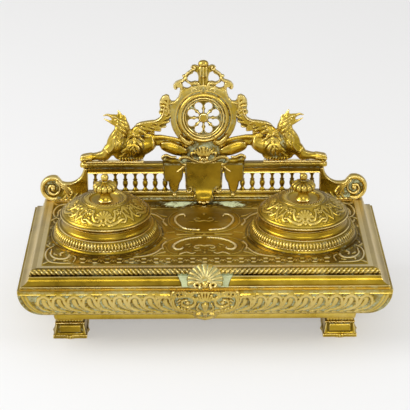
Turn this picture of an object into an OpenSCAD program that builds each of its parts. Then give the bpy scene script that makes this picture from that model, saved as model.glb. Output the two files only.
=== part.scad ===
// Desk inkstand: a long cast brass stand on four feet, with two ink wells under hinged
// lids and a pierced gallery along the back, where two griffins flank a rosette.
// The origin is on the desk, under the middle of the stand. +Y points to the back.

/* [Base] */
// Width of the frieze at its top edge, which is the widest part of the stand
base_w = 310; // [280:1:340]
// Depth of the frieze at its top edge
base_d = 169; // [160:1:190]
// Height of the plain rim above the desk
foot_h = 17.7; // [12:0.1:24]
// Height of the plain rim that runs round the bottom of the frieze
rim_h = 5.5; // [3:0.1:8]
// Height of the swelling part of the frieze
frieze_h = 35.6; // [30:0.1:40]
// How far the rim stands in from the top edge of the frieze
frieze_inset = 27.4; // [22:0.1:30]
// Wall of the frieze casting
frieze_wall = 4; // [3:0.1:5]
// Thickness of the lugs that the feet and the deck are screwed to
lug_t = 5; // [4:0.1:7]
// Side of each lug
lug_w = 24; // [23:0.5:28]

/* [Feet] */
// Width of a foot at the desk
foot_w = 28.9; // [24:0.1:30]
// Height of the slab at the bottom of a foot
foot_slab_h = 3.4; // [2:0.1:5]
// Height of the neck at the top of a foot
foot_neck_h = 4.6; // [3:0.1:6]
// How far the foot's neck stands in from its slab
foot_taper = 3.4; // [2:0.1:4.5]
// How far the foot's slab reaches out past the rim
foot_reach = 1.8; // [0:0.1:3]

/* [Deck] */
// Height of the cornice between the frieze and the top of the deck
cornice_h = 13.9; // [12:0.1:18]
// How far the deck's edge stands in from the frieze's top edge
deck_inset = 10; // [9:0.1:13]
// Thickness of the deck
deck_t = 4; // [3:0.1:5]
// Height of the fillet that rests on the frieze
fillet_h = 2.4; // [1.5:0.1:3]
// How far the fillet stands in from the frieze's top edge
fillet_inset = 2.2; // [1:0.1:3]
// Radius of the hollow moulding above the fillet
cavetto_r = 6; // [5:0.1:6.5]
// Radius of the rope moulding along the deck's edge
rope_r = 2.7; // [2:0.1:3]
// Radius of the scallop shell on the middle of the cornice
shell_r = 12.2; // [10:0.1:14]
// Relief of the cartouche on the middle of the frieze
cartouche_relief = 3; // [2:0.1:4]
// Half of the cartouche's width
cartouche_w = 29; // [24:0.5:34]

/* [Wells] */
// Distance of each ink well's middle from the side of the stand
well_inset = 70.2; // [68:0.1:76]
// Distance of the ink wells in front of the base's middle
well_front = 3.7; // [2:0.1:6]
// Radius of the collar's flange on the deck
collar_r = 47.5; // [46.5:0.1:50]
// Height of the collar above the deck
collar_h = 17.5; // [16:0.1:20]
// Radius of the collar's neck at its top
neck_r = 37; // [36.5:0.1:38]
// Radius of the bore that the ink pot hangs in
collar_bore_r = 31.3; // [29:0.1:32.5]
// Radius of the recess that holds the ink pot's flange
ledge_r = 34.5; // [33.5:0.1:35]
// Depth of that recess
ledge_depth = 3.4; // [3:0.1:5]
// Wall of the ink pot
pot_wall = 3; // [2:0.1:4]
// Depth of the ink pot below its flange
pot_depth = 44; // [30:0.5:50]
// Thickness of the ink pot's flange
pot_flange_t = 2; // [1.5:0.1:2.6]

/* [Lids] */
// Radius of the lid's rim
lid_r = 39.3; // [38.5:0.1:40.5]
// Height of the lid's rim
lid_rim_h = 3.6; // [3:0.1:5]
// Height of the dome above the lid's rim
dome_h = 11.9; // [9:0.1:14]
// Thickness of the dome
dome_t = 2.6; // [2:0.1:3.2]
// Radius of the raised ring round the finial
ring_r = 20.5; // [18:0.1:23]
// Height of the finial above the lid
finial_h = 24.3; // [20:0.1:26]
// Radius of the finial's melon
melon_r = 9.4; // [8:0.1:11]
// Radius of the finial's screw
finial_screw_r = 1.9; // [1.5:0.05:2.4]
// Gap between the closed lid and the collar
lid_gap = 0.3; // [0.2:0.05:0.5]

/* [Lid hinges] */
// Radius of the hinge knuckles
knuckle_r = 2.8; // [2.4:0.1:3]
// Radius of the hinge pin
hinge_pin_r = 1.2; // [0.9:0.05:1.5]
// Length of the lid's knuckle
lid_knuckle_l = 10; // [7:0.5:14]
// Length of each of the collar's two knuckles
collar_knuckle_l = 5; // [4:0.5:7]
// Running gap between neighbouring knuckles
knuckle_gap = 0.3; // [0.2:0.05:0.5]
// Radial clearance of the hinge pin in the lid's knuckle
pin_clearance = 0.05; // [0.02:0.01:0.09]

/* [Gallery] */
// How far the gallery leans back, in degrees
lean = 6; // [0:0.5:8]
// Depth of the gallery's rails
rail_d = 7.4; // [6.5:0.1:8]
// Height of the bottom rail
bottom_rail_h = 8.4; // [6:0.1:10]
// Length of a baluster between the rails
baluster_h = 17; // [14:0.1:20]
// Distance between neighbouring balusters
baluster_pitch = 9; // [8:0.1:10]
// Number of balusters on each side
baluster_count = 9; // [7:1:9]
// Distance of the innermost baluster from the middle
baluster_start = 26; // [25:0.1:27]
// Height of the top rail's fascia
fascia_h = 5.5; // [4:0.1:7]
// Height of the slab that caps the top rail
cap_h = 4.4; // [3:0.1:6]
// How far the cap stands out past the fascia
cap_overhang = 1; // [0.5:0.1:1.5]
// Length of the cap
cap_w = 223.2; // [218:0.2:228]
// Radius of the volute at each end of the gallery
volute_r = 12; // [10:0.1:13]
// Distance of each volute's middle from the side of the stand
volute_inset = 18.7; // [17:0.1:21]
// Distance of a griffin's front paw from the middle of the stand
griffin_reach = 111.3; // [105:0.1:111.5]

/* [Rosette and crest] */
// Height of the rosette's centre above the top rail
rosette_rise = 41.7; // [38:0.1:46]
// Radius of the rosette's outer ring
rosette_r = 23; // [21:0.1:25]
// Radius of the opening that the tracery fills
tracery_r = 16.4; // [14:0.1:17.5]
// Number of petals in the tracery
petal_count = 8; // [6:1:10]
// Radius of the plate behind the rosette
plate_r = 29.3; // [28:0.1:31]
// Thickness of the plate behind the rosette
plate_t = 4; // [3:0.1:5]
// Height of the knob's centre above the foot of the crest
crest_h = 21.4; // [19:0.1:24]
// Radius of the knob on top of the crest
knob_r = 4.4; // [3.5:0.1:5.5]

/* [Shield] */
// Half of the shield's width
shield_w = 18; // [16:0.1:19]
// Thickness of the shield and the lappets
shield_t = 3.4; // [2.5:0.1:4]
// How far the shield's foot curls forward over the deck
shield_kick = 9; // [5:0.1:11]

/* [Fasteners] */
// Radius of the screws in the lugs
screw_r = 2; // [1.5:0.1:2.4]
// Clearance round a screw
screw_clearance = 0.2; // [0.1:0.05:0.3]
// Radius of a screw head
head_r = 3.8; // [3:0.1:4.2]
// Height of a screw head
head_h = 2.2; // [1.5:0.1:3]
// Radius of a small screw
small_screw_r = 1.5; // [1:0.1:1.6]
// Radius of a small screw's head
small_head_r = 2.5; // [2:0.1:2.7]
// Radius of the studs that hold the gallery
stud_r = 1.8; // [1.4:0.1:2]

/* [Hidden] */

$fn = 64;
LEFT = -1;
RIGHT = 1;
BRASS = "#b8932f";
BRIGHT = "#d2b04c";
DARK = "#7a6424";
GLASS = "#dfe9e6";

// Heights
rim_top = foot_h + rim_h;
frieze_top = rim_top + frieze_h;
deck_top = frieze_top + cornice_h;
collar_top = deck_top + collar_h;
ledge_z = collar_top - ledge_depth;
lid_bottom = collar_top + lid_gap;
lid_rim_top = lid_bottom + lid_rim_h;

// The swell of the frieze is an arc that starts upright at the top edge
swell_r = (frieze_inset * frieze_inset + frieze_h * frieze_h) / (2 * frieze_inset);
ARC_STEPS = 10;

// The gallery stands on the back of the deck, and its heights start at the deck
deck_d = base_d - 2 * deck_inset;
fascia_z = bottom_rail_h + baluster_h;
cap_z = fascia_z + fascia_h;
rail_top = cap_z + cap_h;
rosette_z = rail_top + rosette_rise;
crest_foot = rosette_z + plate_r - 2;
knob_z = crest_foot + crest_h;

// The stand is set so that its reach to the front, where the shell is, and to the back is the same
shell_back = 5.2;
shell_reach = 0.732 * shell_r;
front_reach = base_d / 2 - shell_back + shell_reach;
gallery_y0 = deck_d / 2 - rail_d;
back_reach = gallery_y0 + knob_z * sin(lean) + rail_d / 2 * cos(lean) + knob_r;
base_y = (front_reach - back_reach) / 2;
gallery_y = base_y + gallery_y0;
well_y = base_y - well_front;
well_x = base_w / 2 - well_inset;
volute_x = base_w / 2 - volute_inset;

// The side scrolls start where the rails end
scroll_x = baluster_start + baluster_pitch * (baluster_count - 1) + 6.6;

// Hinge axis of the lids, measured from the well's centre
hinge_y = lid_r + 0.5 + knuckle_r;
hinge_z = lid_bottom + 0.5;

// Feet and lugs
foot_x = base_w / 2 - frieze_inset + foot_reach - foot_w / 2;
foot_y = base_d / 2 - frieze_inset + foot_reach - foot_w / 2;
deck_screw_x = base_w / 2 - frieze_wall - lug_w / 2 + 1;
deck_screw_y = 0.25 * base_d;
screw_hole_r = screw_r + screw_clearance;
small_hole_r = small_screw_r + screw_clearance;

// ---------- shared shapes ----------

// A mitred solid on a rectangle; levels lists [height, inset] from the bottom up
module mitred(w, d, levels) {
    intersection() {
        rotate([90, 0, 90]) linear_extrude(w + 1, center = true) polygon(outline(d / 2, levels));
        rotate([90, 0, 0]) linear_extrude(d + 1, center = true) polygon(outline(w / 2, levels));
    }
}

function outline(half, levels) = concat(
    [for (l = levels) [half - l[1], l[0]]],
    [for (i = [len(levels) - 1 : -1 : 0]) [levels[i][1] - half, levels[i][0]]]
);

// Points of an arc in a plane, from angle a to angle b
function arc(cx, cy, r, a, b, steps) = [
    for (i = [0 : steps]) let (t = a + (b - a) * i / steps) [cx + r * cos(t), cy + r * sin(t)]
];

// Levels of the swelling frieze, grown outwards by an amount
function swell_levels(grow, top_extra) = concat(
    [[foot_h - (grow < 0 ? 1 : 0), frieze_inset - grow], [rim_top, frieze_inset - grow]],
    [for (i = [1 : ARC_STEPS])
        let (a = acos((swell_r - frieze_inset) / (swell_r + grow)) * (1 - i / ARC_STEPS))
        [frieze_top - (swell_r + grow) * sin(a), swell_r - (swell_r + grow) * cos(a)]],
    top_extra > 0 ? [[frieze_top + top_extra, -grow]] : []
);

module each_corner(x, y) {
    for (sx = [-1, 1])
        for (sy = [-1, 1])
            translate([sx * x, sy * y + base_y, 0]) children();
}

module left_or_right(side) {
    mirror([side == LEFT ? 1 : 0, 0, 0]) children();
}

module at_well(side) {
    translate([side * well_x, well_y, 0]) children();
}

// Places a shape in the plane of the gallery: X across, Y into its depth, Z up from the deck
module on_gallery() {
    translate([0, gallery_y, deck_top]) rotate([-lean, 0, 0]) children();
}

// A flat outline of the gallery made solid from one depth to another
module slab(from, to) {
    translate([0, to, 0]) rotate([90, 0, 0]) linear_extrude(to - from) children();
}

// Keeps only what stands above the deck
module above_deck() {
    intersection() {
        children();
        translate([-base_w / 2, -base_d, deck_top]) cube([base_w, 2 * base_d, base_w]);
    }
}

// A slotted screw that points up; the top of its head is at z
module screw_up(z, length, r, head) {
    translate([0, 0, z - 0.01]) cylinder(r = r, h = length);
    translate([0, 0, z - head_h]) difference() {
        cylinder(r = head, h = head_h);
        translate([-head - 1, -0.4, -0.1]) cube([2 * head + 2, 0.8, 0.9]);
    }
}

// ---------- base ----------

module frieze_solid() {
    translate([0, base_y, 0]) mitred(base_w, base_d, swell_levels(0, 0));
}

module frieze_box() {
    color(BRASS) difference() {
        union() {
            difference() {
                frieze_solid();
                translate([0, base_y, 0]) mitred(base_w, base_d, swell_levels(-frieze_wall, 1));
            }
            // lugs under the deck
            each_corner(deck_screw_x, deck_screw_y)
                translate([-lug_w / 2, -lug_w / 2, frieze_top - lug_t]) cube([lug_w, lug_w, lug_t]);
            // lugs over the feet
            each_corner(foot_x, foot_y)
                translate([-lug_w / 2, -lug_w / 2, foot_h]) cube([lug_w, lug_w, lug_t]);
        }
        each_corner(deck_screw_x, deck_screw_y)
            translate([0, 0, frieze_top - lug_t - 1]) cylinder(r = screw_hole_r, h = lug_t + 2);
        each_corner(foot_x, foot_y)
            translate([0, 0, foot_h - 1]) cylinder(r = screw_hole_r, h = lug_t + 2);
    }
}

// Outline of the cartouche, as seen from the front
module cartouche_outline() {
    translate([0, rim_top + 0.56 * frieze_h]) circle(r = 0.55 * cartouche_w);
    translate([0, rim_top + 0.18 * frieze_h]) circle(r = 0.36 * cartouche_w);
    for (s = [-1, 1]) {
        translate([s * 0.52 * cartouche_w, rim_top + 0.6 * frieze_h]) circle(r = 0.42 * cartouche_w);
        translate([s * 0.8 * cartouche_w, rim_top + 0.8 * frieze_h]) circle(r = 0.2 * cartouche_w);
        translate([s * 0.42 * cartouche_w, rim_top + 0.28 * frieze_h]) circle(r = 0.28 * cartouche_w);
    }
    translate([0, foot_h + 1.5]) circle(r = 3.4);
}

module frieze_cartouche() {
    color(BRIGHT) difference() {
        intersection() {
            translate([0, base_y, 0])
                mitred(base_w, base_d + 2 * cartouche_relief, swell_levels(0, 0));
            translate([0, base_y - base_d / 4, 0]) slab(-base_d / 2, 0) cartouche_outline();
        }
        frieze_solid();
    }
}

// ---------- feet ----------

module foot() {
    difference() {
        mitred(foot_w, foot_w, [
            [0, 0], [foot_slab_h, 0], [foot_slab_h, 0.8],
            [foot_h - foot_neck_h, 0.75 * foot_taper], [foot_h - foot_neck_h + 0.8, 0.5 * foot_taper],
            [foot_h - foot_neck_h + 0.8, foot_taper], [foot_h, foot_taper]
        ]);
        translate([0, 0, foot_h - 9]) cylinder(r = screw_hole_r, h = 10);
    }
}

module foot_at(sx, sy) {
    color(BRIGHT) translate([sx * foot_x, sy * foot_y + base_y, 0]) foot();
}

module foot_screws() {
    color(DARK) each_corner(foot_x, foot_y)
        translate([0, 0, foot_h + lug_t]) mirror([0, 0, 1]) screw_up(0, lug_t + 8, screw_r, head_r);
}

// ---------- deck ----------

rope_z = deck_top - rope_r;

// Levels of the cornice: fillet, hollow, recess, and the roll that carries the rope
cornice_levels = concat(
    [[frieze_top, fillet_inset], [frieze_top + fillet_h, fillet_inset]],
    [for (p = arc(0, cavetto_r, cavetto_r, -90, 0, 6))
        [frieze_top + fillet_h + p[1], fillet_inset + 0.8 + p[0]]],
    [for (p = arc(0, 0, rope_r, -90, 90, 10)) [rope_z + p[1], deck_inset + rope_r - p[0]]]
);

module cornice_solid() {
    translate([0, base_y, 0]) mitred(base_w, base_d, cornice_levels);
}

deck_boss_r = screw_r + 2.4;
collar_spigot_r = collar_bore_r + 3.4;
deck_hole_r = collar_spigot_r + 0.3;
collar_screw_ring = (deck_hole_r + collar_r) / 2;
stud_x = [-0.88 * scroll_x, -0.3 * scroll_x, 0.3 * scroll_x, 0.88 * scroll_x, -volute_x, volute_x];
stud_y = gallery_y + rail_d / 2;
stud_hole_r = stud_r + screw_clearance;
nut_r = 1.9 * stud_r;
nut_h = 2.6;
nut_seat = deck_top - deck_t - 2.3;

module deck_plate() {
    color(BRASS) difference() {
        union() {
            difference() {
                cornice_solid();
                translate([0, base_y, 0]) mitred(base_w, base_d, [
                    [frieze_top - 1, fillet_inset + 4], [frieze_top + fillet_h + 0.6, fillet_inset + 4],
                    [deck_top - deck_t - 1.2, deck_inset + 2 * rope_r], [deck_top - deck_t, deck_inset + 2 * rope_r]
                ]);
            }
            each_corner(deck_screw_x, deck_screw_y)
                translate([0, 0, frieze_top]) cylinder(r = deck_boss_r, h = deck_top - deck_t / 2 - frieze_top);
            for (x = stud_x)
                translate([x, stud_y, nut_seat]) cylinder(r = nut_r + 1.2, h = deck_top - deck_t / 2 - nut_seat);
        }
        each_corner(deck_screw_x, deck_screw_y)
            translate([0, 0, frieze_top - 1]) cylinder(r = screw_hole_r, h = cornice_h - deck_t + 1);
        for (side = [LEFT, RIGHT])
            at_well(side) {
                translate([0, 0, deck_top - deck_t - 1]) cylinder(r = deck_hole_r, h = deck_t + 2);
                for (a = [-90, 30, 150])
                    rotate(a) translate([collar_screw_ring, 0, deck_top - deck_t - 1])
                        cylinder(r = small_hole_r, h = deck_t + 2);
            }
        for (x = stud_x)
            translate([x, stud_y, 0]) {
                translate([0, 0, nut_seat - 1]) cylinder(r = stud_hole_r, h = deck_top - nut_seat + 2);
                translate([0, 0, frieze_top - 1]) cylinder(r = nut_r + 0.3, h = nut_seat - frieze_top + 1);
            }
    }
}

module deck_screws() {
    color(DARK) each_corner(deck_screw_x, deck_screw_y)
        screw_up(frieze_top - lug_t, lug_t + cornice_h - deck_t - 2, screw_r, head_r);
}

// The shell leans on the cornice, from the fillet up to the rope
SHELL_RIBS = 11;
shell_tilt = 52;

module shell_outline() {
    for (k = [0 : SHELL_RIBS - 1])
        rotate(-96 + 192 * k / (SHELL_RIBS - 1)) translate([0, shell_r - 0.6]) circle(r = 2);
    circle(r = shell_r);
    for (s = [-1, 1])
        translate([s * 0.62 * shell_r, -0.72 * shell_r]) circle(r = 2.6);
}

module shell_mount() {
    color(BRIGHT) difference() {
        intersection() {
            translate([0, base_y - base_d / 2 + shell_back, frieze_top + 7.6])
                rotate([shell_tilt, 0, 0]) {
                    translate([0, 0, -9]) linear_extrude(14) shell_outline();
                }
            translate([0, base_y - base_d / 2 + shell_back, frieze_top + 7.6])
                rotate([shell_tilt, 0, 0]) translate([0, 0, -26]) sphere(r = 30.6);
            translate([-20, -base_d, frieze_top]) cube([40, base_d, cornice_h + 2]);
        }
        cornice_solid();
        frieze_solid();
        translate([-20, base_y - deck_d / 2 + 3, frieze_top]) cube([40, 40, 30]);
    }
}

// ---------- ink wells ----------

// Heights in this section start at the deck, and places at the well's centre
bead_foot = 4.2;
bead_top = 10.4;
hinge_up = hinge_z - deck_top;
pot_r = collar_bore_r - 0.7;
pot_lip_r = ledge_r - 0.4;

collar_profile = concat(
    [[collar_bore_r, -deck_t - 1], [collar_spigot_r, -deck_t - 1], [collar_spigot_r, 0], [collar_r, 0]],
    arc(collar_r - 0.4, bead_foot, 2.7, -80, -180, 4),
    arc(collar_r - 8.2, bead_foot + 0.8, 5.1, 0, 80, 5),
    arc(neck_r + 2.6, bead_top + 3.6, 3, -110, -190, 5),
    [[neck_r, collar_h], [ledge_r, collar_h], [ledge_r, collar_h - ledge_depth],
     [collar_bore_r, collar_h - ledge_depth]]
);

// Side view of the arm that carries each of the collar's knuckles
collar_arm = [
    [hinge_y + knuckle_r, hinge_up], [hinge_y + knuckle_r, hinge_up - 5],
    [hinge_y + 0.6, bead_foot + 4], [ledge_r + 0.8, bead_foot + 4], [ledge_r + 0.8, collar_h - 1],
    [hinge_y - knuckle_r, collar_h - 0.6], [hinge_y - knuckle_r, hinge_up]
];

module on_hinge_axis() {
    translate([0, hinge_y, hinge_up]) rotate([0, 90, 0]) children();
}

module well_collar(side) {
    color(BRASS) at_well(side) translate([0, 0, deck_top]) difference() {
        union() {
            rotate_extrude($fn = 120) polygon(collar_profile);
            for (s = [-1, 1])
                translate([s * (lid_knuckle_l / 2 + knuckle_gap + collar_knuckle_l / 2), 0, 0]) {
                    on_hinge_axis() cylinder(r = knuckle_r, h = collar_knuckle_l, center = true);
                    rotate([90, 0, 90]) linear_extrude(collar_knuckle_l, center = true) polygon(collar_arm);
                }
        }
        on_hinge_axis() cylinder(r = hinge_pin_r + 0.02, h = 60, center = true);
        for (a = [-90, 30, 150])
            rotate(a) translate([collar_screw_ring, 0, -1]) cylinder(r = small_hole_r, h = 3.4);
    }
}

module collar_screws() {
    color(DARK)
        for (side = [LEFT, RIGHT], a = [-90, 30, 150])
            at_well(side) rotate(a) translate([collar_screw_ring, 0, 0])
                screw_up(deck_top - deck_t, deck_t + 2, small_screw_r, small_head_r);
}

module hinge_pin(side) {
    color(DARK) at_well(side) translate([0, 0, deck_top]) on_hinge_axis()
        cylinder(r = hinge_pin_r, h = lid_knuckle_l + 2 * (knuckle_gap + collar_knuckle_l) + 0.6, center = true);
}

module ink_pot(side) {
    color(GLASS) at_well(side) translate([0, 0, ledge_z]) rotate_extrude($fn = 96) polygon([
        [0, -pot_depth], [pot_r - 4, -pot_depth], [pot_r - 1.2, -pot_depth + 1.2], [pot_r, -pot_depth + 4],
        [pot_r, 0], [pot_lip_r, 0], [pot_lip_r, pot_flange_t], [pot_r - pot_wall, pot_flange_t],
        [pot_r - pot_wall, -pot_depth + pot_wall + 3], [pot_r - pot_wall - 3, -pot_depth + pot_wall],
        [0, -pot_depth + pot_wall]
    ]);
}

// ---------- lids ----------

// The dome is a cap of a sphere that runs from the rim to the ring round the finial
dome_r0 = lid_r - 1.1;
dome_c = (dome_h * dome_h + ring_r * ring_r - dome_r0 * dome_r0) / (2 * dome_h);
dome_R = sqrt(dome_r0 * dome_r0 + dome_c * dome_c);
dish_h = dome_h - 1.2;

function dome_arc(radius, from_r, to_r, steps) = [
    for (i = [0 : steps]) let (r = from_r + (to_r - from_r) * i / steps)
        [r, lid_rim_h + dome_c + sqrt(radius * radius - r * r)]
];

lid_profile = concat(
    [[ledge_r - 0.5, 0], [lid_r - 0.7, 0], [lid_r, 0.7], [lid_r, lid_rim_h - 1], [lid_r - 0.6, lid_rim_h - 0.2]],
    dome_arc(dome_R, dome_r0, ring_r, 8),
    [[ring_r - 0.2, lid_rim_h + dome_h + 1.2], [ring_r - 1.8, lid_rim_h + dome_h + 1.9],
     [ring_r - 3.8, lid_rim_h + dome_h + 1.2], [ring_r - 5.6, lid_rim_h + dish_h],
     [finial_screw_r + 0.2, lid_rim_h + dish_h]],
    [[finial_screw_r + 0.2, lid_rim_h + dish_h - dome_t], [ring_r - 4.4, lid_rim_h + dish_h - dome_t]],
    dome_arc(dome_R - dome_t, ring_r - 1, ledge_r - 2.5, 8),
    [[ledge_r - 0.5, lid_rim_h - 1.4]]
);

module lid(side) {
    color(BRASS) at_well(side) difference() {
        union() {
            translate([0, 0, lid_bottom]) rotate_extrude($fn = 120) polygon(lid_profile);
            translate([0, 0, deck_top]) on_hinge_axis() cylinder(r = knuckle_r, h = lid_knuckle_l, center = true);
            translate([-lid_knuckle_l / 2, ledge_r + 2, lid_bottom])
                cube([lid_knuckle_l, hinge_y - ledge_r - 2, lid_rim_h - 0.4]);
        }
        translate([0, 0, deck_top]) on_hinge_axis()
            cylinder(r = hinge_pin_r + pin_clearance, h = lid_knuckle_l + 1, center = true);
    }
}

finial_seat = lid_rim_top + dish_h;

module lid_finial(side) {
    ball_r = 0.14 * finial_h;
    ball_z = finial_h - ball_r;
    belly_z = 0.47 * finial_h;
    color(BRIGHT) at_well(side) translate([0, 0, finial_seat]) {
        rotate_extrude($fn = 72) polygon(concat(
            [[0, 0], [0.58 * melon_r, 0], [0.58 * melon_r, 1.2], [0.44 * melon_r, 2.2], [0.5 * melon_r, 4.6],
             [0.38 * melon_r, 6.4], [0.6 * melon_r, 7.4]],
            arc(melon_r - 2.6, belly_z, 2.6, -60, 45, 6),
            [[0.62 * melon_r, belly_z + 4.2], [0.27 * melon_r, belly_z + 5.6], [0.22 * melon_r, ball_z - ball_r + 0.6],
             [0, ball_z - ball_r + 0.6]]
        ));
        translate([0, 0, ball_z]) sphere(r = ball_r);
        translate([0, 0, -dome_t - 3.4]) cylinder(r = finial_screw_r, h = dome_t + 4);
    }
}

module finial_nut(side) {
    color(DARK) at_well(side) translate([0, 0, finial_seat - dome_t - 2.6]) difference() {
        cylinder(r = 2.2 * finial_screw_r, h = 2.6, $fn = 6);
        translate([0, 0, -1]) cylinder(r = finial_screw_r + 0.1, h = 5);
    }
}

// ---------- gallery ----------

baluster_xs = [for (i = [0 : baluster_count - 1]) baluster_start + i * baluster_pitch];
spigot_r = 1.2;
spigot_l = 2;
socket_l = 2.3;

module sockets(z) {
    for (x = baluster_xs, s = [-1, 1])
        translate([s * x, rail_d / 2, z]) cylinder(r = spigot_r + 0.05, h = socket_l, $fn = 24);
}

module gallery_bottom_rail() {
    color(BRASS) difference() {
        above_deck() on_gallery() union() {
            translate([-scroll_x, 0, -2]) cube([2 * scroll_x, rail_d, bottom_rail_h + 0.4]);
            translate([-scroll_x, 0.6, 0]) cube([2 * scroll_x, rail_d - 1.2, bottom_rail_h]);
        }
        on_gallery() sockets(bottom_rail_h - socket_l);
        for (x = stud_x)
            translate([x, stud_y, deck_top - 1]) cylinder(r = stud_hole_r, h = 6.4);
    }
}

module baluster() {
    h = baluster_h;
    rotate_extrude($fn = 32) polygon([
        [0, 0], [3.2, 0], [3.2, 0.04 * h], [2.2, 0.09 * h], [1.2, 0.18 * h], [2.2, 0.31 * h], [2.5, 0.42 * h],
        [2.1, 0.52 * h], [1.4, 0.57 * h], [2.1, 0.59 * h], [2.1, 0.63 * h], [1.3, 0.66 * h], [1.2, 0.8 * h],
        [2.2, 0.91 * h], [3.2, 0.96 * h], [3.2, h], [0, h]
    ]);
    translate([0, 0, -spigot_l]) cylinder(r = spigot_r, h = h + 2 * spigot_l, $fn = 24);
}

module balusters(side) {
    color(BRIGHT) on_gallery()
        for (x = baluster_xs)
            translate([side * x, rail_d / 2, bottom_rail_h]) baluster();
}

// Holes for the screws that rise through the top rail into the griffins and the medallion
rail_hole_depth = 6.4;
griffin_screw_x = [for (k = [3, 7]) -baluster_start - (k + 0.5) * baluster_pitch];
medallion_screw_x = [-12, 12];
shield_screw_x = [-28, 0, 28];
rail_screw_z = cap_z - 3.1;

module gallery_top_rail() {
    nose = (rail_d + 2 * cap_overhang) / 2;
    color(BRASS) on_gallery() difference() {
        union() {
            translate([-scroll_x, 0, fascia_z]) cube([2 * scroll_x, rail_d, fascia_h]);
            translate([-scroll_x, -0.5, fascia_z + 0.55 * fascia_h]) cube([2 * scroll_x, rail_d + 1, 0.45 * fascia_h]);
            translate([-cap_w / 2 + nose, -cap_overhang, cap_z]) cube([cap_w - 2 * nose, 2 * nose, cap_h]);
            for (s = [-1, 1])
                translate([s * (cap_w / 2 - nose), rail_d / 2, cap_z]) cylinder(r = nose, h = cap_h);
        }
        sockets(fascia_z);
        for (s = [-1, 1])
            for (x = concat(griffin_screw_x, medallion_screw_x[0]))
                translate([s * x, rail_d / 2, 0]) {
                    translate([0, 0, fascia_z - 1]) cylinder(r = small_head_r + 0.2, h = rail_screw_z - fascia_z + 1);
                    translate([0, 0, fascia_z]) cylinder(r = small_hole_r, h = 20);
                }
        for (x = shield_screw_x)
            translate([x, rail_d + 2, cap_z + cap_h / 2]) rotate([90, 0, 0]) cylinder(r = small_hole_r, h = rail_d + 6);
    }
}

// The scroll at each end of the gallery: a volute and a hollow arm that rises to the rail
module scroll_outline() {
    arm_x = cap_w / 2 + 11.5;
    arm_z = rail_top - 4;
    difference() {
        translate([scroll_x, -2]) square([volute_x - scroll_x, cap_z + 2]);
        translate([arm_x, arm_z]) circle(r = 14.6);
        translate([arm_x, arm_z - 14.6]) square([40, 40]);
    }
    translate([volute_x, volute_r - 0.6]) circle(r = volute_r);
}

module gallery_scroll(side) {
    color(BRASS) difference() {
        above_deck() on_gallery() left_or_right(side) {
            slab(0, rail_d) scroll_outline();
            slab(-1.2, rail_d + 1.2) translate([volute_x, volute_r - 0.6]) circle(r = 0.28 * volute_r);
            for (roll = [[0.96, 0.7], [0.56, 0.42]])
                slab(-0.8, rail_d + 0.8) translate([volute_x, volute_r - 0.6]) difference() {
                    circle(r = roll[0] * volute_r, $fn = 48);
                    circle(r = roll[1] * volute_r, $fn = 48);
                }
        }
        translate([side * volute_x, stud_y, deck_top - 1]) cylinder(r = stud_hole_r, h = 9);
    }
}

module gallery_studs() {
    color(DARK)
        for (x = stud_x)
            translate([x, stud_y, nut_seat - nut_h - 1.4])
                cylinder(r = stud_r, h = deck_top - nut_seat + nut_h + 1.4 + 5);
}

module gallery_nuts() {
    color(DARK)
        for (x = stud_x)
            translate([x, stud_y, nut_seat - nut_h]) difference() {
                cylinder(r = nut_r, h = nut_h, $fn = 6);
                translate([0, 0, -1]) cylinder(r = stud_r + 0.1, h = 5);
            }
}

// ---------- griffins ----------

// The griffin's points are drawn for a reach of 111.3 and grow with it
griffin_k = griffin_reach / 111.3;

// A limb is a chain of balls, each [x, z, radius], joined in turn; y is its middle and depth flattens it
module limb(y, balls, depth = 0.82) {
    for (i = [0 : len(balls) - 2])
        hull()
            for (b = [balls[i], balls[i + 1]])
                translate([griffin_k * b[0], y, griffin_k * b[1]])
                    scale([1, depth, 1]) sphere(r = griffin_k * b[2], $fn = 16);
}

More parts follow.
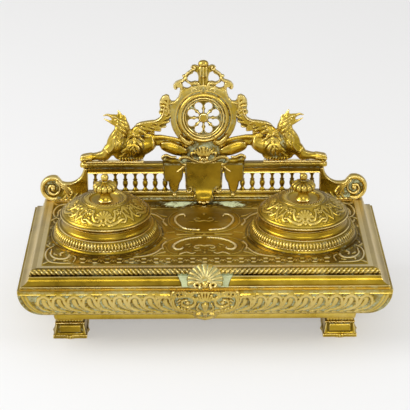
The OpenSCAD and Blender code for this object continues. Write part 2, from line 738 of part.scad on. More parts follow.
// The right griffin lies on the top rail and looks outwards; heights start at the rail's top
module griffin_form() {
    mid = rail_d / 2;
    plinth_t = 1.4;
    difference() {
        union() {
            translate([0.485 * griffin_reach, 0.4, 0]) cube([0.494 * griffin_reach, rail_d - 0.8, plinth_t]);
            // forelegs, side by side
            for (s = [-1, 1])
                limb(mid + 1.8 * s, [[107.6, 3.8, 3.4], [101, 5.2, 3], [90, 6.2, 4.2]]);
            limb(mid, [[88, 6.6, 4.8], [80.6, 14.6, 7.6]]);
            // chest, neck and head, thrown back
            limb(mid, [[79.4, 17.6, 7.6], [75, 26, 7.2], [72, 31.4, 7], [74.2, 37, 5.4]]);
            limb(mid, [[74.2, 37, 5.4], [79.4, 39.4, 3.6], [84.4, 42.6, 1.9], [88.4, 43.4, 0.8]]);
            limb(mid, [[79.6, 36.8, 2.8], [86, 39.8, 1.4], [88.6, 41, 0.7]]);
            limb(mid, [[74, 40, 2.4], [75.4, 46, 0.9]]);
            // shoulder, body and haunch
            limb(mid, [[74, 14.4, 8.8], [61, 14.4, 9.6], [51.8, 16, 7.6]]);
            limb(mid, [[74, 8, 5.8], [58, 7.4, 5.2]]);
            // hind leg, which runs to the foot of the medallion, with the flank's band above it
            limb(mid, [[48, 17, 5], [40, 16.8, 3]]);
            limb(mid, [[34.6, 15.4, 4.9], [26, 13, 6], [18.4, 10.2, 4.4]]);
            limb(mid, [[45, 23.2, 2.2], [32, 22.4, 1.8], [21, 20.4, 1.6]]);
            // wing, swept up to the side of the medallion, with a row of coverts along its root
            limb(mid, [[61.4, 24, 5.4], [58, 31, 4.6], [50, 34, 4]]);
            slab(mid - 2.6, mid + 2.6) polygon(griffin_k * wing_outline);
            slab(mid - 3.8, mid + 3.8) polygon(griffin_k * covert_outline);
        }
        // notch between the plinth and the rail's cap
        translate([0, -rail_d, -rail_d]) cube([cap_w, 3 * rail_d, rail_d]);
        for (x = griffin_screw_x)
            translate([-x, mid, -1]) cylinder(r = small_hole_r, h = rail_hole_depth + 1, $fn = 16);
    }
}

// Wing from its root along the leading edge to the tip, and back over the ends of the long feathers
wing_outline = concat(
    [[62.6, 28], [62, 33.4], [60, 36], [56.4, 37.8], [49.4, 38.8], [42.4, 39.4], [38.6, 42], [36, 46],
     [33.4, 50], [30.6, 50.4], [28.8, 49], [27.8, 45.6]],
    [for (k = [0 : 3], tip = [[0, 0], [1.6, -0.6]])
        [29 + 3.3 * k, 39 - 3.1 * k] + (1 + 0.6 * k) * tip],
    [[44, 27.4], [50, 27.8], [56, 25]]
);
covert_outline = [
    [62, 28.6], [61.4, 33], [59.6, 35.2], [56, 36.8], [49.4, 37.8], [42.6, 38.4], [38.4, 40.6], [38, 37.8],
    [41.4, 36.6], [41.8, 34.4], [45, 34.4], [46, 31.8], [49.4, 32], [50.6, 29.4], [54.4, 29.8], [56.4, 26]
];

module griffin(side) {
    color(BRIGHT) on_gallery() translate([0, 0, rail_top]) left_or_right(side) difference() {
        griffin_form();
        translate([0, -10, rosette_rise]) rotate([-90, 0, 0]) cylinder(r = plate_r + 0.2, h = 40);
        translate([0, 0, rosette_rise]) slab(-5, 20) shoulder_leaf();
        translate([-50, -10, -10]) cube([50 + pedestal_w, 40, 100]);
    }
}

module griffin_screws() {
    color(DARK) on_gallery()
        for (s = [-1, 1], x = griffin_screw_x)
            translate([s * x, rail_d / 2, 0]) screw_up(rail_screw_z, rail_top - rail_screw_z + 5.6, small_screw_r, small_head_r);
}

// ---------- medallion, rosette and crest ----------

// Half of the width of the pedestal under the medallion's plate
pedestal_w = 17;
// Radius of the notches in its sides
notch_r = 8;
plate_front = (rail_d - plate_t) / 2;

// Leaf on the medallion's shoulder; its place is measured from the rosette's centre
module shoulder_leaf() {
    translate([35.4, 4.6]) circle(r = 3);
    translate([34.4, 11.4]) circle(r = 3.7);
    translate([32.6, 17]) circle(r = 3.1);
    polygon([[26, 6], [33, 4], [36, 12], [31.6, 15], [26, 13]]);
}

module plate_outline() {
    circle(r = plate_r);
    for (s = [-1, 1]) mirror([s < 0 ? 1 : 0, 0]) shoulder_leaf();
    difference() {
        translate([-pedestal_w, -rosette_rise]) square([2 * pedestal_w, rosette_rise]);
        for (s = [-1, 1])
            translate([s * (pedestal_w + 0.75 * notch_r), -rosette_rise + notch_r + 1]) circle(r = notch_r);
    }
}

module medallion_plate() {
    color(BRASS) on_gallery() difference() {
        translate([0, 0, rosette_z]) slab(plate_front, plate_front + plate_t) difference() {
            plate_outline();
            circle(r = tracery_r + 1.4);
        }
        for (x = medallion_screw_x)
            translate([x, rail_d / 2, rail_top - 1]) cylinder(r = small_hole_r, h = rail_hole_depth + 1);
    }
}

// One petal of the tracery: a keyhole that widens outwards
module petal() {
    eye_r = 0.177 * tracery_r;
    eye_x = 0.7 * tracery_r;
    polygon([[0.33 * tracery_r, -0.8], [eye_x, -0.8 * eye_r], [eye_x, 0.8 * eye_r], [0.33 * tracery_r, 0.8]]);
    translate([eye_x, 0]) circle(r = eye_r, $fn = 32);
}

module medallion_rosette() {
    step = (rosette_r - tracery_r) / 6;
    color(BRIGHT) on_gallery() translate([0, plate_front, rosette_z]) rotate([90, 0, 0]) {
        rotate_extrude($fn = 96) translate([tracery_r, 0]) polygon([
            [0, 0], [0, 2.2], [0.8 * step, 3.4], [1.8 * step, 3.4], [2.4 * step, 2.3], [3.2 * step, 2.1],
            [4 * step, 3.2], [4.6 * step, 4], [5.4 * step, 4], [6 * step, 2.8], [6 * step, 0]
        ]);
        linear_extrude(2) difference() {
            circle(r = tracery_r + 0.4);
            for (k = [0 : petal_count - 1])
                rotate((k + 0.5) * 360 / petal_count) petal();
        }
        cylinder(r1 = 0.26 * tracery_r, r2 = 0.2 * tracery_r, h = 3.2);
    }
}

// The crest's scrolls, seen from the front; its foot is the top of the plate
module ring_scroll(x, z, outer, inner) {
    translate([x, z]) difference() {
        circle(r = outer);
        circle(r = inner);
    }
}

module crest_outline() {
    difference() {
        union() {
            // bud in the middle
            polygon([[-1.8, -2], [1.8, -2], [1.9, 4], [5, 12.5], [4.4, 16.4], [2.2, 18.6],
                     [-2.2, 18.6], [-4.4, 16.4], [-5, 12.5], [-1.9, 4]]);
            for (s = [-1, 1]) mirror([s < 0 ? 1 : 0, 0]) {
                ring_scroll(7.6, 10.6, 6, 3.7);
                ring_scroll(15, 2.4, 5.6, 3);
                translate([5.4, 17.4]) circle(r = 2.5);
                translate([9.6, 16.6]) circle(r = 1.6);
                translate([15.4, 9.4]) circle(r = 2);
                translate([6, 3.4]) circle(r = 2.6);
                translate([24, 1.6]) circle(r = 3.9);
                translate([20.6, -8.6]) rotate(-12) square([4.4, 12.5]);
            }
        }
        translate([0, 2 - plate_r]) circle(r = plate_r);
    }
}

module crest() {
    color(BRIGHT) on_gallery() translate([0, 0, crest_foot])
        slab(plate_front + 0.3, plate_front + plate_t - 0.3) crest_outline();
}

module crest_knob() {
    color(BRIGHT) on_gallery() translate([0, rail_d / 2, knob_z]) difference() {
        rotate_extrude() polygon([for (a = [-90 : 15 : 90]) [knob_r * cos(a), 0.74 * knob_r * sin(a)]]);
        translate([-10, -10, 18.6 - crest_h - 10]) cube([20, 20, 10]);
    }
}

module medallion_screws() {
    color(DARK) on_gallery()
        for (x = medallion_screw_x)
            translate([x, rail_d / 2, 0]) screw_up(rail_screw_z, rail_top - rail_screw_z + 5.6, small_screw_r, small_head_r);
}

// ---------- shield and lappets ----------

lappet_t = 0.76 * shield_t;
module shield_outline() {
    top = rail_top + 1.2;
    half = concat(
        [[0, top], [0.5 * shield_w, top], [shield_w, top - 1], [0.95 * shield_w, 0.8 * top],
         [0.93 * shield_w, 0.4 * top]],
        arc(0.68 * shield_w, 0.18 * top, 0.2 * shield_w, 20, -150, 10),
        [[0.48 * shield_w, 0.08 * top], [0.48 * shield_w, -2]]
    );
    polygon(concat(half, [for (i = [len(half) - 1 : -1 : 1]) [-half[i][0], half[i][1]]]));
}

// Side view of the shield: upright at the rail, with its foot curled forward onto the deck
module shield_side() {
    top = rail_top + 1.2;
    back = -cap_overhang;
    front = back - shield_t;
    polygon([
        [back, top], [front + 0.6, top], [front, 0.8 * top], [front - 0.6, 0.36 * top], [front - 2.2, 0.2 * top],
        [-shield_kick - 1.8, 3.4], [-shield_kick - 2, 0.4], [-shield_kick - 1, -2], [-shield_kick + 2, -2],
        [back - 4.2, 1.6], [back - 1.6, 5.6], [back - 0.4, 0.34 * top], [back, 0.7 * top]
    ]);
}

module shield() {
    color(BRASS) difference() {
        above_deck() on_gallery() intersection() {
            slab(-shield_kick - 4, 2) shield_outline();
            rotate([90, 0, 90]) linear_extrude(3 * shield_w, center = true) shield_side();
        }
        on_gallery() shield_screw_hole(0);
    }
}

shield_screw_z = cap_z + cap_h / 2;
shield_screw_l = rail_d + 2 * cap_overhang + 0.55 * lappet_t;

module shield_screw_hole(x) {
    translate([x, 4, shield_screw_z]) rotate([90, 0, 0]) cylinder(r = small_hole_r, h = 5.2 + 0.6 * lappet_t);
}

module lappet_outline() {
    top = rail_top + 1.2;
    from = shield_w + 0.4;
    polygon([
        [from, top], [35.6, top], [36.2, 0.85 * top], [35.6, 0.55 * top], [34, 0.4 * top], [31.6, 0.37 * top],
        [29.6, 0.2 * top], [27.6, 0.1 * top], [26.6, 0.06 * top], [25, 0.12 * top], [22.4, 0.28 * top],
        [21.2, 0.4 * top], [21, 0.54 * top], [from + 0.4, 0.66 * top]
    ]);
}

module lappet(side) {
    back = -cap_overhang;
    color(BRASS) on_gallery() left_or_right(side) difference() {
        union() {
            slab(back - lappet_t, back) lappet_outline();
            translate([29.4, back - lappet_t / 2 + 0.9, rail_top + 2.3]) rotate([0, 90, 0]) cylinder(r = 2.2, h = 6.4);
            translate([26.6, back - lappet_t / 2, 0.06 * rail_top]) sphere(r = 1.5);
        }
        shield_screw_hole(shield_screw_x[2]);
    }
}

module shield_screws() {
    color(DARK) on_gallery()
        for (x = shield_screw_x)
            translate([x, rail_d + cap_overhang, shield_screw_z]) rotate([90, 0, 0])
                screw_up(0, shield_screw_l, small_screw_r, small_head_r);
}

// ---------- the stand ----------

frieze_box();
frieze_cartouche();
foot_at(LEFT, -1);  // foot_front_left
foot_at(RIGHT, -1);  // foot_front_right
foot_at(LEFT, 1);  // foot_rear_left
foot_at(RIGHT, 1);  // foot_rear_right
foot_screws();
deck_plate();
shell_mount();
deck_screws();
well_collar(LEFT);  // well_collar_left
well_collar(RIGHT);  // well_collar_right
collar_screws();
ink_pot(LEFT);  // ink_pot_left
ink_pot(RIGHT);  // ink_pot_right
lid(LEFT);  // lid_left
lid(RIGHT);  // lid_right
lid_finial(LEFT);  // lid_finial_left
lid_finial(RIGHT);  // lid_finial_right
finial_nut(LEFT);  // finial_nut_left
finial_nut(RIGHT);  // finial_nut_right
hinge_pin(LEFT);  // hinge_pin_left
hinge_pin(RIGHT);  // hinge_pin_right
gallery_bottom_rail();
balusters(LEFT);  // balusters_left
balusters(RIGHT);  // balusters_right
gallery_top_rail();
gallery_scroll(LEFT);  // gallery_scroll_left
gallery_scroll(RIGHT);  // gallery_scroll_right
gallery_studs();
gallery_nuts();
griffin(LEFT);  // griffin_left
griffin(RIGHT);  // griffin_right
griffin_screws();
medallion_plate();
medallion_rosette();
crest();
crest_knob();
medallion_screws();
shield();
lappet(LEFT);  // lappet_left
lappet(RIGHT);  // lappet_right
shield_screws();
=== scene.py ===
"""Looks of a cast brass desk inkstand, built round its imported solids.

Lengths in this script are in millimetres, and each finished mesh is scaled to metres once.
"""

import math

import bmesh
import bpy
import numpy as np
from mathutils import Matrix, Vector


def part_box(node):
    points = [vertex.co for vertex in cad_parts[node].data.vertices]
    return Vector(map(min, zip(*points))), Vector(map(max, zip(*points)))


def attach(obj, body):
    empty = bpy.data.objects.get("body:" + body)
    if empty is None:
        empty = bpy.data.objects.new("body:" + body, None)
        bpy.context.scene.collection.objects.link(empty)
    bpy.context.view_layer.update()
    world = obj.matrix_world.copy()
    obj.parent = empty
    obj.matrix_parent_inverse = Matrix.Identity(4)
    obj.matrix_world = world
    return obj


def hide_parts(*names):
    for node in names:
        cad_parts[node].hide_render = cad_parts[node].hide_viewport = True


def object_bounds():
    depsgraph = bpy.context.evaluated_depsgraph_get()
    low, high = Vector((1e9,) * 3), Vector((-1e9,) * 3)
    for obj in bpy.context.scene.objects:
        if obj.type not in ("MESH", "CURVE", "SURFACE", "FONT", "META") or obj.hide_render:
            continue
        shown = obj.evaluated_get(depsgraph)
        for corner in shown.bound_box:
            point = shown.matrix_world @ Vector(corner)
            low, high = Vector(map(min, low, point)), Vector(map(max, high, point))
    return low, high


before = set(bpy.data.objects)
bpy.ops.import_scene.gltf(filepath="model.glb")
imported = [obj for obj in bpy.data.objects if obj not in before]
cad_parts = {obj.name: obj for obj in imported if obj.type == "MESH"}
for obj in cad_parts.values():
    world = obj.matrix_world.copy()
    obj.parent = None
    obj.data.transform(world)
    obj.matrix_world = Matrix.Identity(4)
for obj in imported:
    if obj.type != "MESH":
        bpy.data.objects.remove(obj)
cad_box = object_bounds()

MM = 0.001


# ---------- finishes ----------

def group_socket(tree, name, kind, direction, value=None):
    """A named input or output on a shader node group."""
    socket = tree.interface.new_socket(name=name, in_out=direction, socket_type=kind)
    if value is not None:
        socket.default_value = value
    return socket


def node(tree, kind, **settings):
    """A shader node with its settings."""
    made = tree.nodes.new(kind)
    for key, value in settings.items():
        setattr(made, key, value)
    return made


def wire(source, target):
    """Feeds one socket from another."""
    source.id_data.links.new(source, target)


def ramp(source, stops):
    """A colour ramp of (position, colour) stops, fed by the socket `source`."""
    made = node(source.id_data, "ShaderNodeValToRGB")
    elements = made.color_ramp.elements
    while len(elements) < len(stops):
        elements.new(0.5)
    for element, (position, colour) in zip(elements, stops):
        element.position = position
        element.color = (*colour, 1)
    wire(source, made.inputs[0])
    return made.outputs[0]


def noise(place, scale, detail=4, roughness=0.5):
    """A noise value from the socket `place`."""
    made = node(place.id_data, "ShaderNodeTexNoise")
    made.inputs["Scale"].default_value = scale
    made.inputs["Detail"].default_value = detail
    made.inputs["Roughness"].default_value = roughness
    wire(place, made.inputs["Vector"])
    return made.outputs["Fac"]


def maths(operation, first, second, clamp=False):
    """A Math node on two sockets, or on a socket and a plain number."""
    tree = (second if isinstance(first, (int, float)) else first).id_data
    made = node(tree, "ShaderNodeMath", operation=operation, use_clamp=clamp)
    for k, value in enumerate((first, second)):
        if isinstance(value, (int, float)):
            made.inputs[k].default_value = value
        else:
            wire(value, made.inputs[k])
    return made.outputs[0]


def plus(first, second, clamp=False):
    """The sum of two sockets or numbers."""
    return maths("ADD", first, second, clamp)


def minus(first, second, clamp=False):
    """The first socket or number less the second."""
    return maths("SUBTRACT", first, second, clamp)


def times(first, second, clamp=False):
    """The product of two sockets or numbers."""
    return maths("MULTIPLY", first, second, clamp)


# where a Mix node keeps its factor, its two colours and their blend
MIX_FACTOR, MIX_FIRST, MIX_SECOND, MIX_RESULT = 0, 6, 7, 2


def blend_colour(factor, first, second):
    """A Mix node between two colours, which are sockets or plain tuples."""
    made = node(factor.id_data, "ShaderNodeMix", data_type="RGBA")
    wire(factor, made.inputs[MIX_FACTOR])
    for number, value in ((MIX_FIRST, first), (MIX_SECOND, second)):
        if isinstance(value, tuple):
            made.inputs[number].default_value = (*value, 1)
        else:
            wire(value, made.inputs[number])
    return made.outputs[MIX_RESULT]


def span(source, low, high):
    """Source as a 0 to 1 mask between two values, smoothly."""
    made = node(source.id_data, "ShaderNodeMapRange", interpolation_type="SMOOTHSTEP")
    made.inputs["From Min"].default_value = low
    made.inputs["From Max"].default_value = high
    wire(source, made.inputs["Value"])
    return made.outputs["Result"]


# aged brass, from the deepest tone to the cleanest
DEEP_OLIVE = (0.18, 0.11, 0.007)
OLIVE = (0.42, 0.275, 0.022)
OLD_GOLD = (0.60, 0.43, 0.075)
CLEAN_YELLOW = (0.76, 0.60, 0.21)
RUBBED_RIDGE = (0.93, 0.745, 0.31)
# worn pale metal, which is also the painted highlight on raised strands
WORN_PALE_AND_HIGHLIGHT = (0.88, 0.76, 0.47)
# what lies on it
# dirt, which is also the painted shade of grooves and sunk grounds
DIRT_AND_SHADE = (0.085, 0.055, 0.008)
DARK_SPOT = (0.06, 0.038, 0.006)
DULL_VERDIGRIS = (0.40, 0.44, 0.20)
PALE_VERDIGRIS = (0.70, 0.75, 0.50)
# chalk in the chased lines, which is also the painted highlight on them
CHALK_AND_HIGHLIGHT = (0.90, 0.84, 0.56)


def tarnish_group():
    """Aged brass: bright on raised edges, olive-brown with dirt and painted shade in hollows, with pale
    verdigris where it gathers.

    Hollow is -1 on sharp ridges, 0 on flats and 1 in grooves. Ground is 1 on a sunk ground, which dirt and
    painted shade darken, more where verdigris is heaped, less than 0 on metal that is worn pale and painted
    as a highlight, and less than -1 where chalk fills a line and paints a highlight on it.
    """
    tree = bpy.data.node_groups.new("tarnish", "ShaderNodeTree")
    group_socket(tree, "Vector", "NodeSocketVector", "INPUT")
    for name, value in (("Hollow", 0.0), ("Ground", 0.0), ("Verdigris", 0.5), ("Age", 0.5), ("Polish", 0.5)):
        group_socket(tree, name, "NodeSocketFloat", "INPUT", value)
    for name, kind in (("Color", "NodeSocketColor"), ("Roughness", "NodeSocketFloat"),
                       ("Metallic", "NodeSocketFloat"), ("Height", "NodeSocketFloat")):
        group_socket(tree, name, kind, "OUTPUT")
    given = node(tree, "NodeGroupInput").outputs
    out = node(tree, "NodeGroupOutput")
    place, hollow, ground = given["Vector"], given["Hollow"], given["Ground"]
    cloudy = noise(place, 38, 5, 0.6)
    streaky = noise(place, 11, 3, 0.5)
    blotch = noise(place, 95, 4, 0.65)
    speckle = noise(place, 420, 3, 0.6)
    grain = noise(place, 1500, 2, 0.5)
    # tone of the metal, from a rich olive to a clean yellow
    tone = plus(times(cloudy, 0.55), times(streaky, 0.45))
    tone = minus(tone, times(given["Age"], 0.26))
    tone = minus(tone, times(ground, 0.2))
    metal_tone = ramp(tone, ((0.14, DEEP_OLIVE), (0.32, OLIVE), (0.48, OLD_GOLD), (0.68, CLEAN_YELLOW)))
    # ridges are rubbed bright, and raised strands are worn pale and given a painted highlight
    ridge = span(hollow, -0.1, -0.7)
    ridge = times(ridge, plus(given["Polish"], 0.25), clamp=True)
    worn_and_highlit = blend_colour(ridge, metal_tone, RUBBED_RIDGE)
    pale = span(ground, -0.15, -1.0)
    worn_and_highlit = blend_colour(times(pale, 0.75), worn_and_highlit, WORN_PALE_AND_HIGHLIGHT)
    # dirt and painted shade sit in grooves and on sunk grounds
    groove = span(hollow, 0.06, 0.6)
    dirt_and_shade = maths("MAXIMUM", groove, times(ground, 0.75), clamp=True)
    dirt_and_shade = times(dirt_and_shade, plus(times(blotch, 0.8), 0.5), clamp=True)
    dirtied_and_shaded = blend_colour(times(dirt_and_shade, 0.88), worn_and_highlit, DIRT_AND_SHADE)
    # verdigris sits there too, in patches
    gathers = plus(times(blotch, 0.6), times(speckle, 0.4))
    gathers = plus(gathers, times(given["Verdigris"], 0.3))
    heaped = maths("MAXIMUM", minus(ground, 1.0), 0.0)
    gathers = plus(gathers, times(heaped, 0.5))
    patch = span(gathers, 0.60, 0.80)
    green = times(maths("MAXIMUM", groove, ground), patch, clamp=True)
    crust = blend_colour(speckle, DULL_VERDIGRIS, PALE_VERDIGRIS)
    colour = blend_colour(green, dirtied_and_shaded, crust)
    spots = span(speckle, 0.64, 0.76)
    colour = blend_colour(times(spots, 0.4), colour, DARK_SPOT)
    # chalk fills the chased lines, and paints a highlight on them
    chalk_and_highlight = span(ground, -1.0, -1.7)
    chalk_and_highlight = times(chalk_and_highlight, plus(blotch, 0.35), clamp=True)
    colour = blend_colour(chalk_and_highlight, colour, CHALK_AND_HIGHLIGHT)
    rough = plus(times(cloudy, 0.14), 0.22)
    rough = plus(rough, times(dirt_and_shade, 0.2))
    rough = minus(rough, times(ridge, 0.06))
    rough = plus(rough, times(pale, 0.16))
    rough = plus(rough, times(green, 0.35), clamp=True)
    metal = minus(1.0, times(green, 0.8), clamp=True)
    metal = minus(metal, times(chalk_and_highlight, 0.6), clamp=True)
    height = plus(times(speckle, 0.5), times(grain, 0.3))
    height = plus(height, times(cloudy, 0.8))
    for name, value in (("Color", colour), ("Roughness", rough), ("Metallic", metal), ("Height", height)):
        wire(value, out.inputs[name])
    return tree


TARNISH = tarnish_group()


def new_material(name):
    """A material, the inputs of its Principled shader, and its Object coordinates."""
    made = bpy.data.materials.new(name)
    made.use_nodes = True
    place = node(made.node_tree, "ShaderNodeTexCoord").outputs["Object"]
    return made, made.node_tree.nodes["Principled BSDF"].inputs, place


BUMP_STRENGTH = 0.6
BUMP_HEIGHT = 0.12


def brass(name, verdigris=0.5, age=0.5, polish=0.5, marks=True):
    """Cast brass, which with `marks` reads the hollow and ground attributes of a piece made here."""
    made, inputs, place = new_material(name)
    tree = made.node_tree
    tone = node(tree, "ShaderNodeGroup", node_tree=TARNISH)
    wire(place, tone.inputs["Vector"])
    for socket, value in (("Verdigris", verdigris), ("Age", age), ("Polish", polish)):
        tone.inputs[socket].default_value = value
    if marks:
        for attribute, socket in (("hollow", "Hollow"), ("ground", "Ground")):
            read = node(tree, "ShaderNodeAttribute", attribute_name=attribute)
            wire(read.outputs["Fac"], tone.inputs[socket])
    for socket in ("Roughness", "Metallic"):
        wire(tone.outputs[socket], inputs[socket])
    wire(tone.outputs["Color"], inputs["Base Color"])
    bumps = node(tree, "ShaderNodeBump")
    bumps.inputs["Strength"].default_value = BUMP_STRENGTH
    bumps.inputs["Distance"].default_value = BUMP_HEIGHT * MM
    wire(tone.outputs["Height"], bumps.inputs["Height"])
    wire(bumps.outputs["Normal"], inputs["Normal"])
    return made


GREENISH_CLEAR = (0.93, 0.97, 0.95)
GLASS_IOR = 1.5
GREY_STEEL = (0.36, 0.35, 0.33)
RUST = (0.23, 0.13, 0.07)


def pot_glass():
    """Clear pressed glass with faint waves."""
    made, inputs, place = new_material("pot_glass")
    inputs["Base Color"].default_value = (*GREENISH_CLEAR, 1)
    inputs["Transmission Weight"].default_value = 1.0
    inputs["IOR"].default_value = GLASS_IOR
    waves = noise(place, 60, 2)
    wire(plus(times(waves, 0.06), 0.02), inputs["Roughness"])
    return made


def fixing_steel():
    """Dull steel of screws, nuts, studs and hinge pins, with a little rust."""
    made, inputs, place = new_material("fixing_steel")
    rust = span(noise(place, 240, 4), 0.52, 0.68)
    wire(blend_colour(rust, GREY_STEEL, RUST), inputs["Base Color"])
    wire(plus(times(rust, 0.35), 0.35), inputs["Roughness"])
    wire(minus(1.0, times(rust, 0.6)), inputs["Metallic"])
    return made


FRIEZE_BRASS = brass("frieze_brass", verdigris=0.65, age=0.35, polish=0.8)
FOOT_BRASS = brass("foot_brass", verdigris=0.3, age=0.8, polish=0.6)
CORNICE_BRASS = brass("cornice_brass", verdigris=0.45, age=1.0, polish=0.6)
DECK_BRASS = brass("deck_brass", verdigris=0.3, age=0.6, polish=0.8)
LID_BRASS = brass("lid_brass", verdigris=0.1, age=0.55, polish=0.6)
COLLAR_BRASS = brass("collar_brass", verdigris=0.3, age=0.85, polish=0.6)
GALLERY_BRASS = brass("gallery_brass", verdigris=0.45, age=0.3, polish=0.7)
MEDALLION_BRASS = brass("medallion_brass", verdigris=0.6, age=0.2, polish=0.7)
SHIELD_BRASS = brass("shield_brass", verdigris=0.45, age=0.9, polish=0.6)
GRIFFIN_BRASS = brass("griffin_brass", verdigris=0.4, age=0.4, polish=0.8)
MOUNT_BRASS = brass("mount_brass", verdigris=0.9, age=0.5, polish=0.6)


# ---------- meshes from moved grids ----------

def new_mesh(shape):
    """The bmesh as a mesh; the bmesh is freed."""
    mesh = bpy.data.meshes.new("part")
    shape.to_mesh(mesh)
    shape.free()
    return mesh


def opened(mesh):
    """The mesh as a bmesh; the mesh is freed."""
    shape = bmesh.new()
    shape.from_mesh(mesh)
    bpy.data.meshes.remove(mesh)
    return shape


def new_object(name, data):
    """An object in the scene."""
    made = bpy.data.objects.new(name, data)
    bpy.context.scene.collection.objects.link(made)
    return made


def points_of(mesh, layer="co"):
    """The points of a mesh in metres, or its normals, as rows of three."""
    flat = np.empty(len(mesh.vertices) * 3)
    mesh.vertices.foreach_get(layer, flat)
    return flat.reshape(-1, 3)


def set_points(mesh, points):
    """Moves the points of a mesh to places in metres."""
    mesh.vertices.foreach_set("co", points.ravel())


def set_mark(mesh, name, values):
    """Writes a value at each point for the finishes to read."""
    mark = mesh.attributes.get(name) or mesh.attributes.new(name, "FLOAT", "POINT")
    mark.data.foreach_set("value", np.broadcast_to(values, len(mesh.vertices)).astype(np.float32))


def sheet(columns, rows, place):
    """A grid of faces moved by place(u, v), which gives points in mm and the mark of the sunk ground."""
    shape = bmesh.new()
    bmesh.ops.create_grid(shape, x_segments=columns, y_segments=rows, size=0.5)
    mesh = new_mesh(shape)
    flat = points_of(mesh)
    points, ground = place(flat[:, 0] + 0.5, flat[:, 1] + 0.5)
    set_points(mesh, np.asarray(points) * MM)
    set_mark(mesh, "ground", ground)
    return mesh


def weld(*meshes, gap=0.01):
    """One mesh of several, with points that touch joined and faces turned outwards."""
    shape = bmesh.new()
    for mesh in meshes:
        shape.from_mesh(mesh)
        bpy.data.meshes.remove(mesh)
    bmesh.ops.remove_doubles(shape, verts=shape.verts, dist=gap * MM)
    bmesh.ops.dissolve_degenerate(shape, edges=shape.edges, dist=1e-7)
    bmesh.ops.recalc_face_normals(shape, faces=shape.faces)
    return new_mesh(shape)


def neighbours(mesh):
    """The point at each end of each edge, the one at its other end, and how many edges each point has."""
    ends = np.empty(len(mesh.edges) * 2, np.int64)
    mesh.edges.foreach_get("vertices", ends)
    here = np.concatenate((ends[0::2], ends[1::2]))
    other = np.concatenate((ends[1::2], ends[0::2]))
    return here, other, np.maximum(np.bincount(here, minlength=len(mesh.vertices)), 1)


HOLLOW_GAIN = 0.9
HOLLOW_ROUNDS = 2


def mark_hollows(mesh):
    """Writes how hollow the surface is at each point: 1 in a groove and -1 on a sharp ridge."""
    count = len(mesh.vertices)
    here, other, number = neighbours(mesh)
    points = points_of(mesh) / MM
    normals = points_of(mesh, "normal")
    step = points[other] - points[here]
    bend = (step * normals[here]).sum(1) / np.maximum((step ** 2).sum(1), 1e-6) * 2
    hollow = np.bincount(here, bend, count) / number
    hollow = np.clip(hollow * HOLLOW_GAIN, -1.5, 1.5)
    for _ in range(HOLLOW_ROUNDS):
        hollow = 0.5 * hollow + 0.5 * np.bincount(here, hollow[other], count) / number
    set_mark(mesh, "hollow", np.clip(hollow, -1, 1))


def piece(name, mesh, finish, body="stand", stands_for=(), crease=50):
    """Puts a finished mesh into the scene on its body, in place of the solids that it stands for."""
    if "ground" not in mesh.attributes:
        mesh.attributes.new("ground", "FLOAT", "POINT")
    # ornament never stands past the inkstand's own size
    set_points(mesh, np.clip(points_of(mesh), *cad_box))
    mesh.name = name
    mesh.shade_smooth()
    mesh.set_sharp_from_angle(angle=math.radians(crease))
    mark_hollows(mesh)
    mesh.materials.append(finish)
    made = new_object(name, mesh)
    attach(made, body)
    if stands_for:
        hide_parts(*stands_for)
    return made


def arc(across, up, radius, start, end, steps=8):
    """Points of an arc in a profile, with angles in degrees."""
    turns = np.radians(np.linspace(start, end, steps + 1))
    return [(across + radius * math.cos(a), up + radius * math.sin(a)) for a in turns]


def shifted(across, up, *points):
    """Points of a profile or an outline, measured from (across, up)."""
    return [(across + x, up + y) for x, y in points]


def dense(profile, step):
    """The profile's points with more between them, so that none is further than `step` from the next.

    Gives the points, their outward normals and how far along the profile each one is.
    """
    line = [np.array(profile[0], float)]
    for a, b in zip(profile, profile[1:]):
        a, b = np.array(a, float), np.array(b, float)
        gap = np.linalg.norm(b - a)
        fine = step(a, b) if callable(step) else step
        count = max(1, math.ceil(gap / fine - 1e-6))
        line += [a + (b - a) * k / count for k in range(1, count + 1)]
    line = np.array(line)
    run = np.gradient(line, axis=0)
    run /= np.maximum(np.linalg.norm(run, axis=1), 1e-9)[:, None]
    along = np.concatenate(((0,), np.cumsum(np.linalg.norm(np.diff(line, axis=0), axis=1))))
    return line, np.column_stack((run[:, 1], -run[:, 0])), along


def hump(value, middle, half):
    """1 at the middle, fading smoothly on both sides."""
    return np.exp(-((value - middle) / half) ** 2)


def fall(value, low, high):
    """1 up to low, 0 from high, and a smooth fall between them."""
    return rise(-value, -high, -low)


def rise(value, low, high):
    """0 up to low, 1 from high, and a smooth rise between them."""
    share = np.clip((value - low) / (high - low), 0, 1)
    return share * share * (3 - 2 * share)


def turned(profile, centre, columns, step=0.6, relief=None):
    """A solid turned about an upright axis; its profile of (radius, height) runs up on the outside.

    relief(turn, along, radius, height) gives the lift of each point and the ground mark; turn 0 is the front.
    """
    line, normal, along = dense(profile, step)

    def place(u, v):
        row = np.rint(v * (len(line) - 1)).astype(int)
        turn = u * 2 * np.pi
        radius, height = line[row].T
        lift, ground = relief(turn, along[row], radius, height) if relief else (0, 0)
        radius = radius + normal[row, 0] * lift
        height = height + normal[row, 1] * lift
        around = np.column_stack((radius * np.sin(turn), -radius * np.cos(turn), height))
        return around + np.array(centre), ground

    return weld(sheet(columns, len(line) - 1, place))


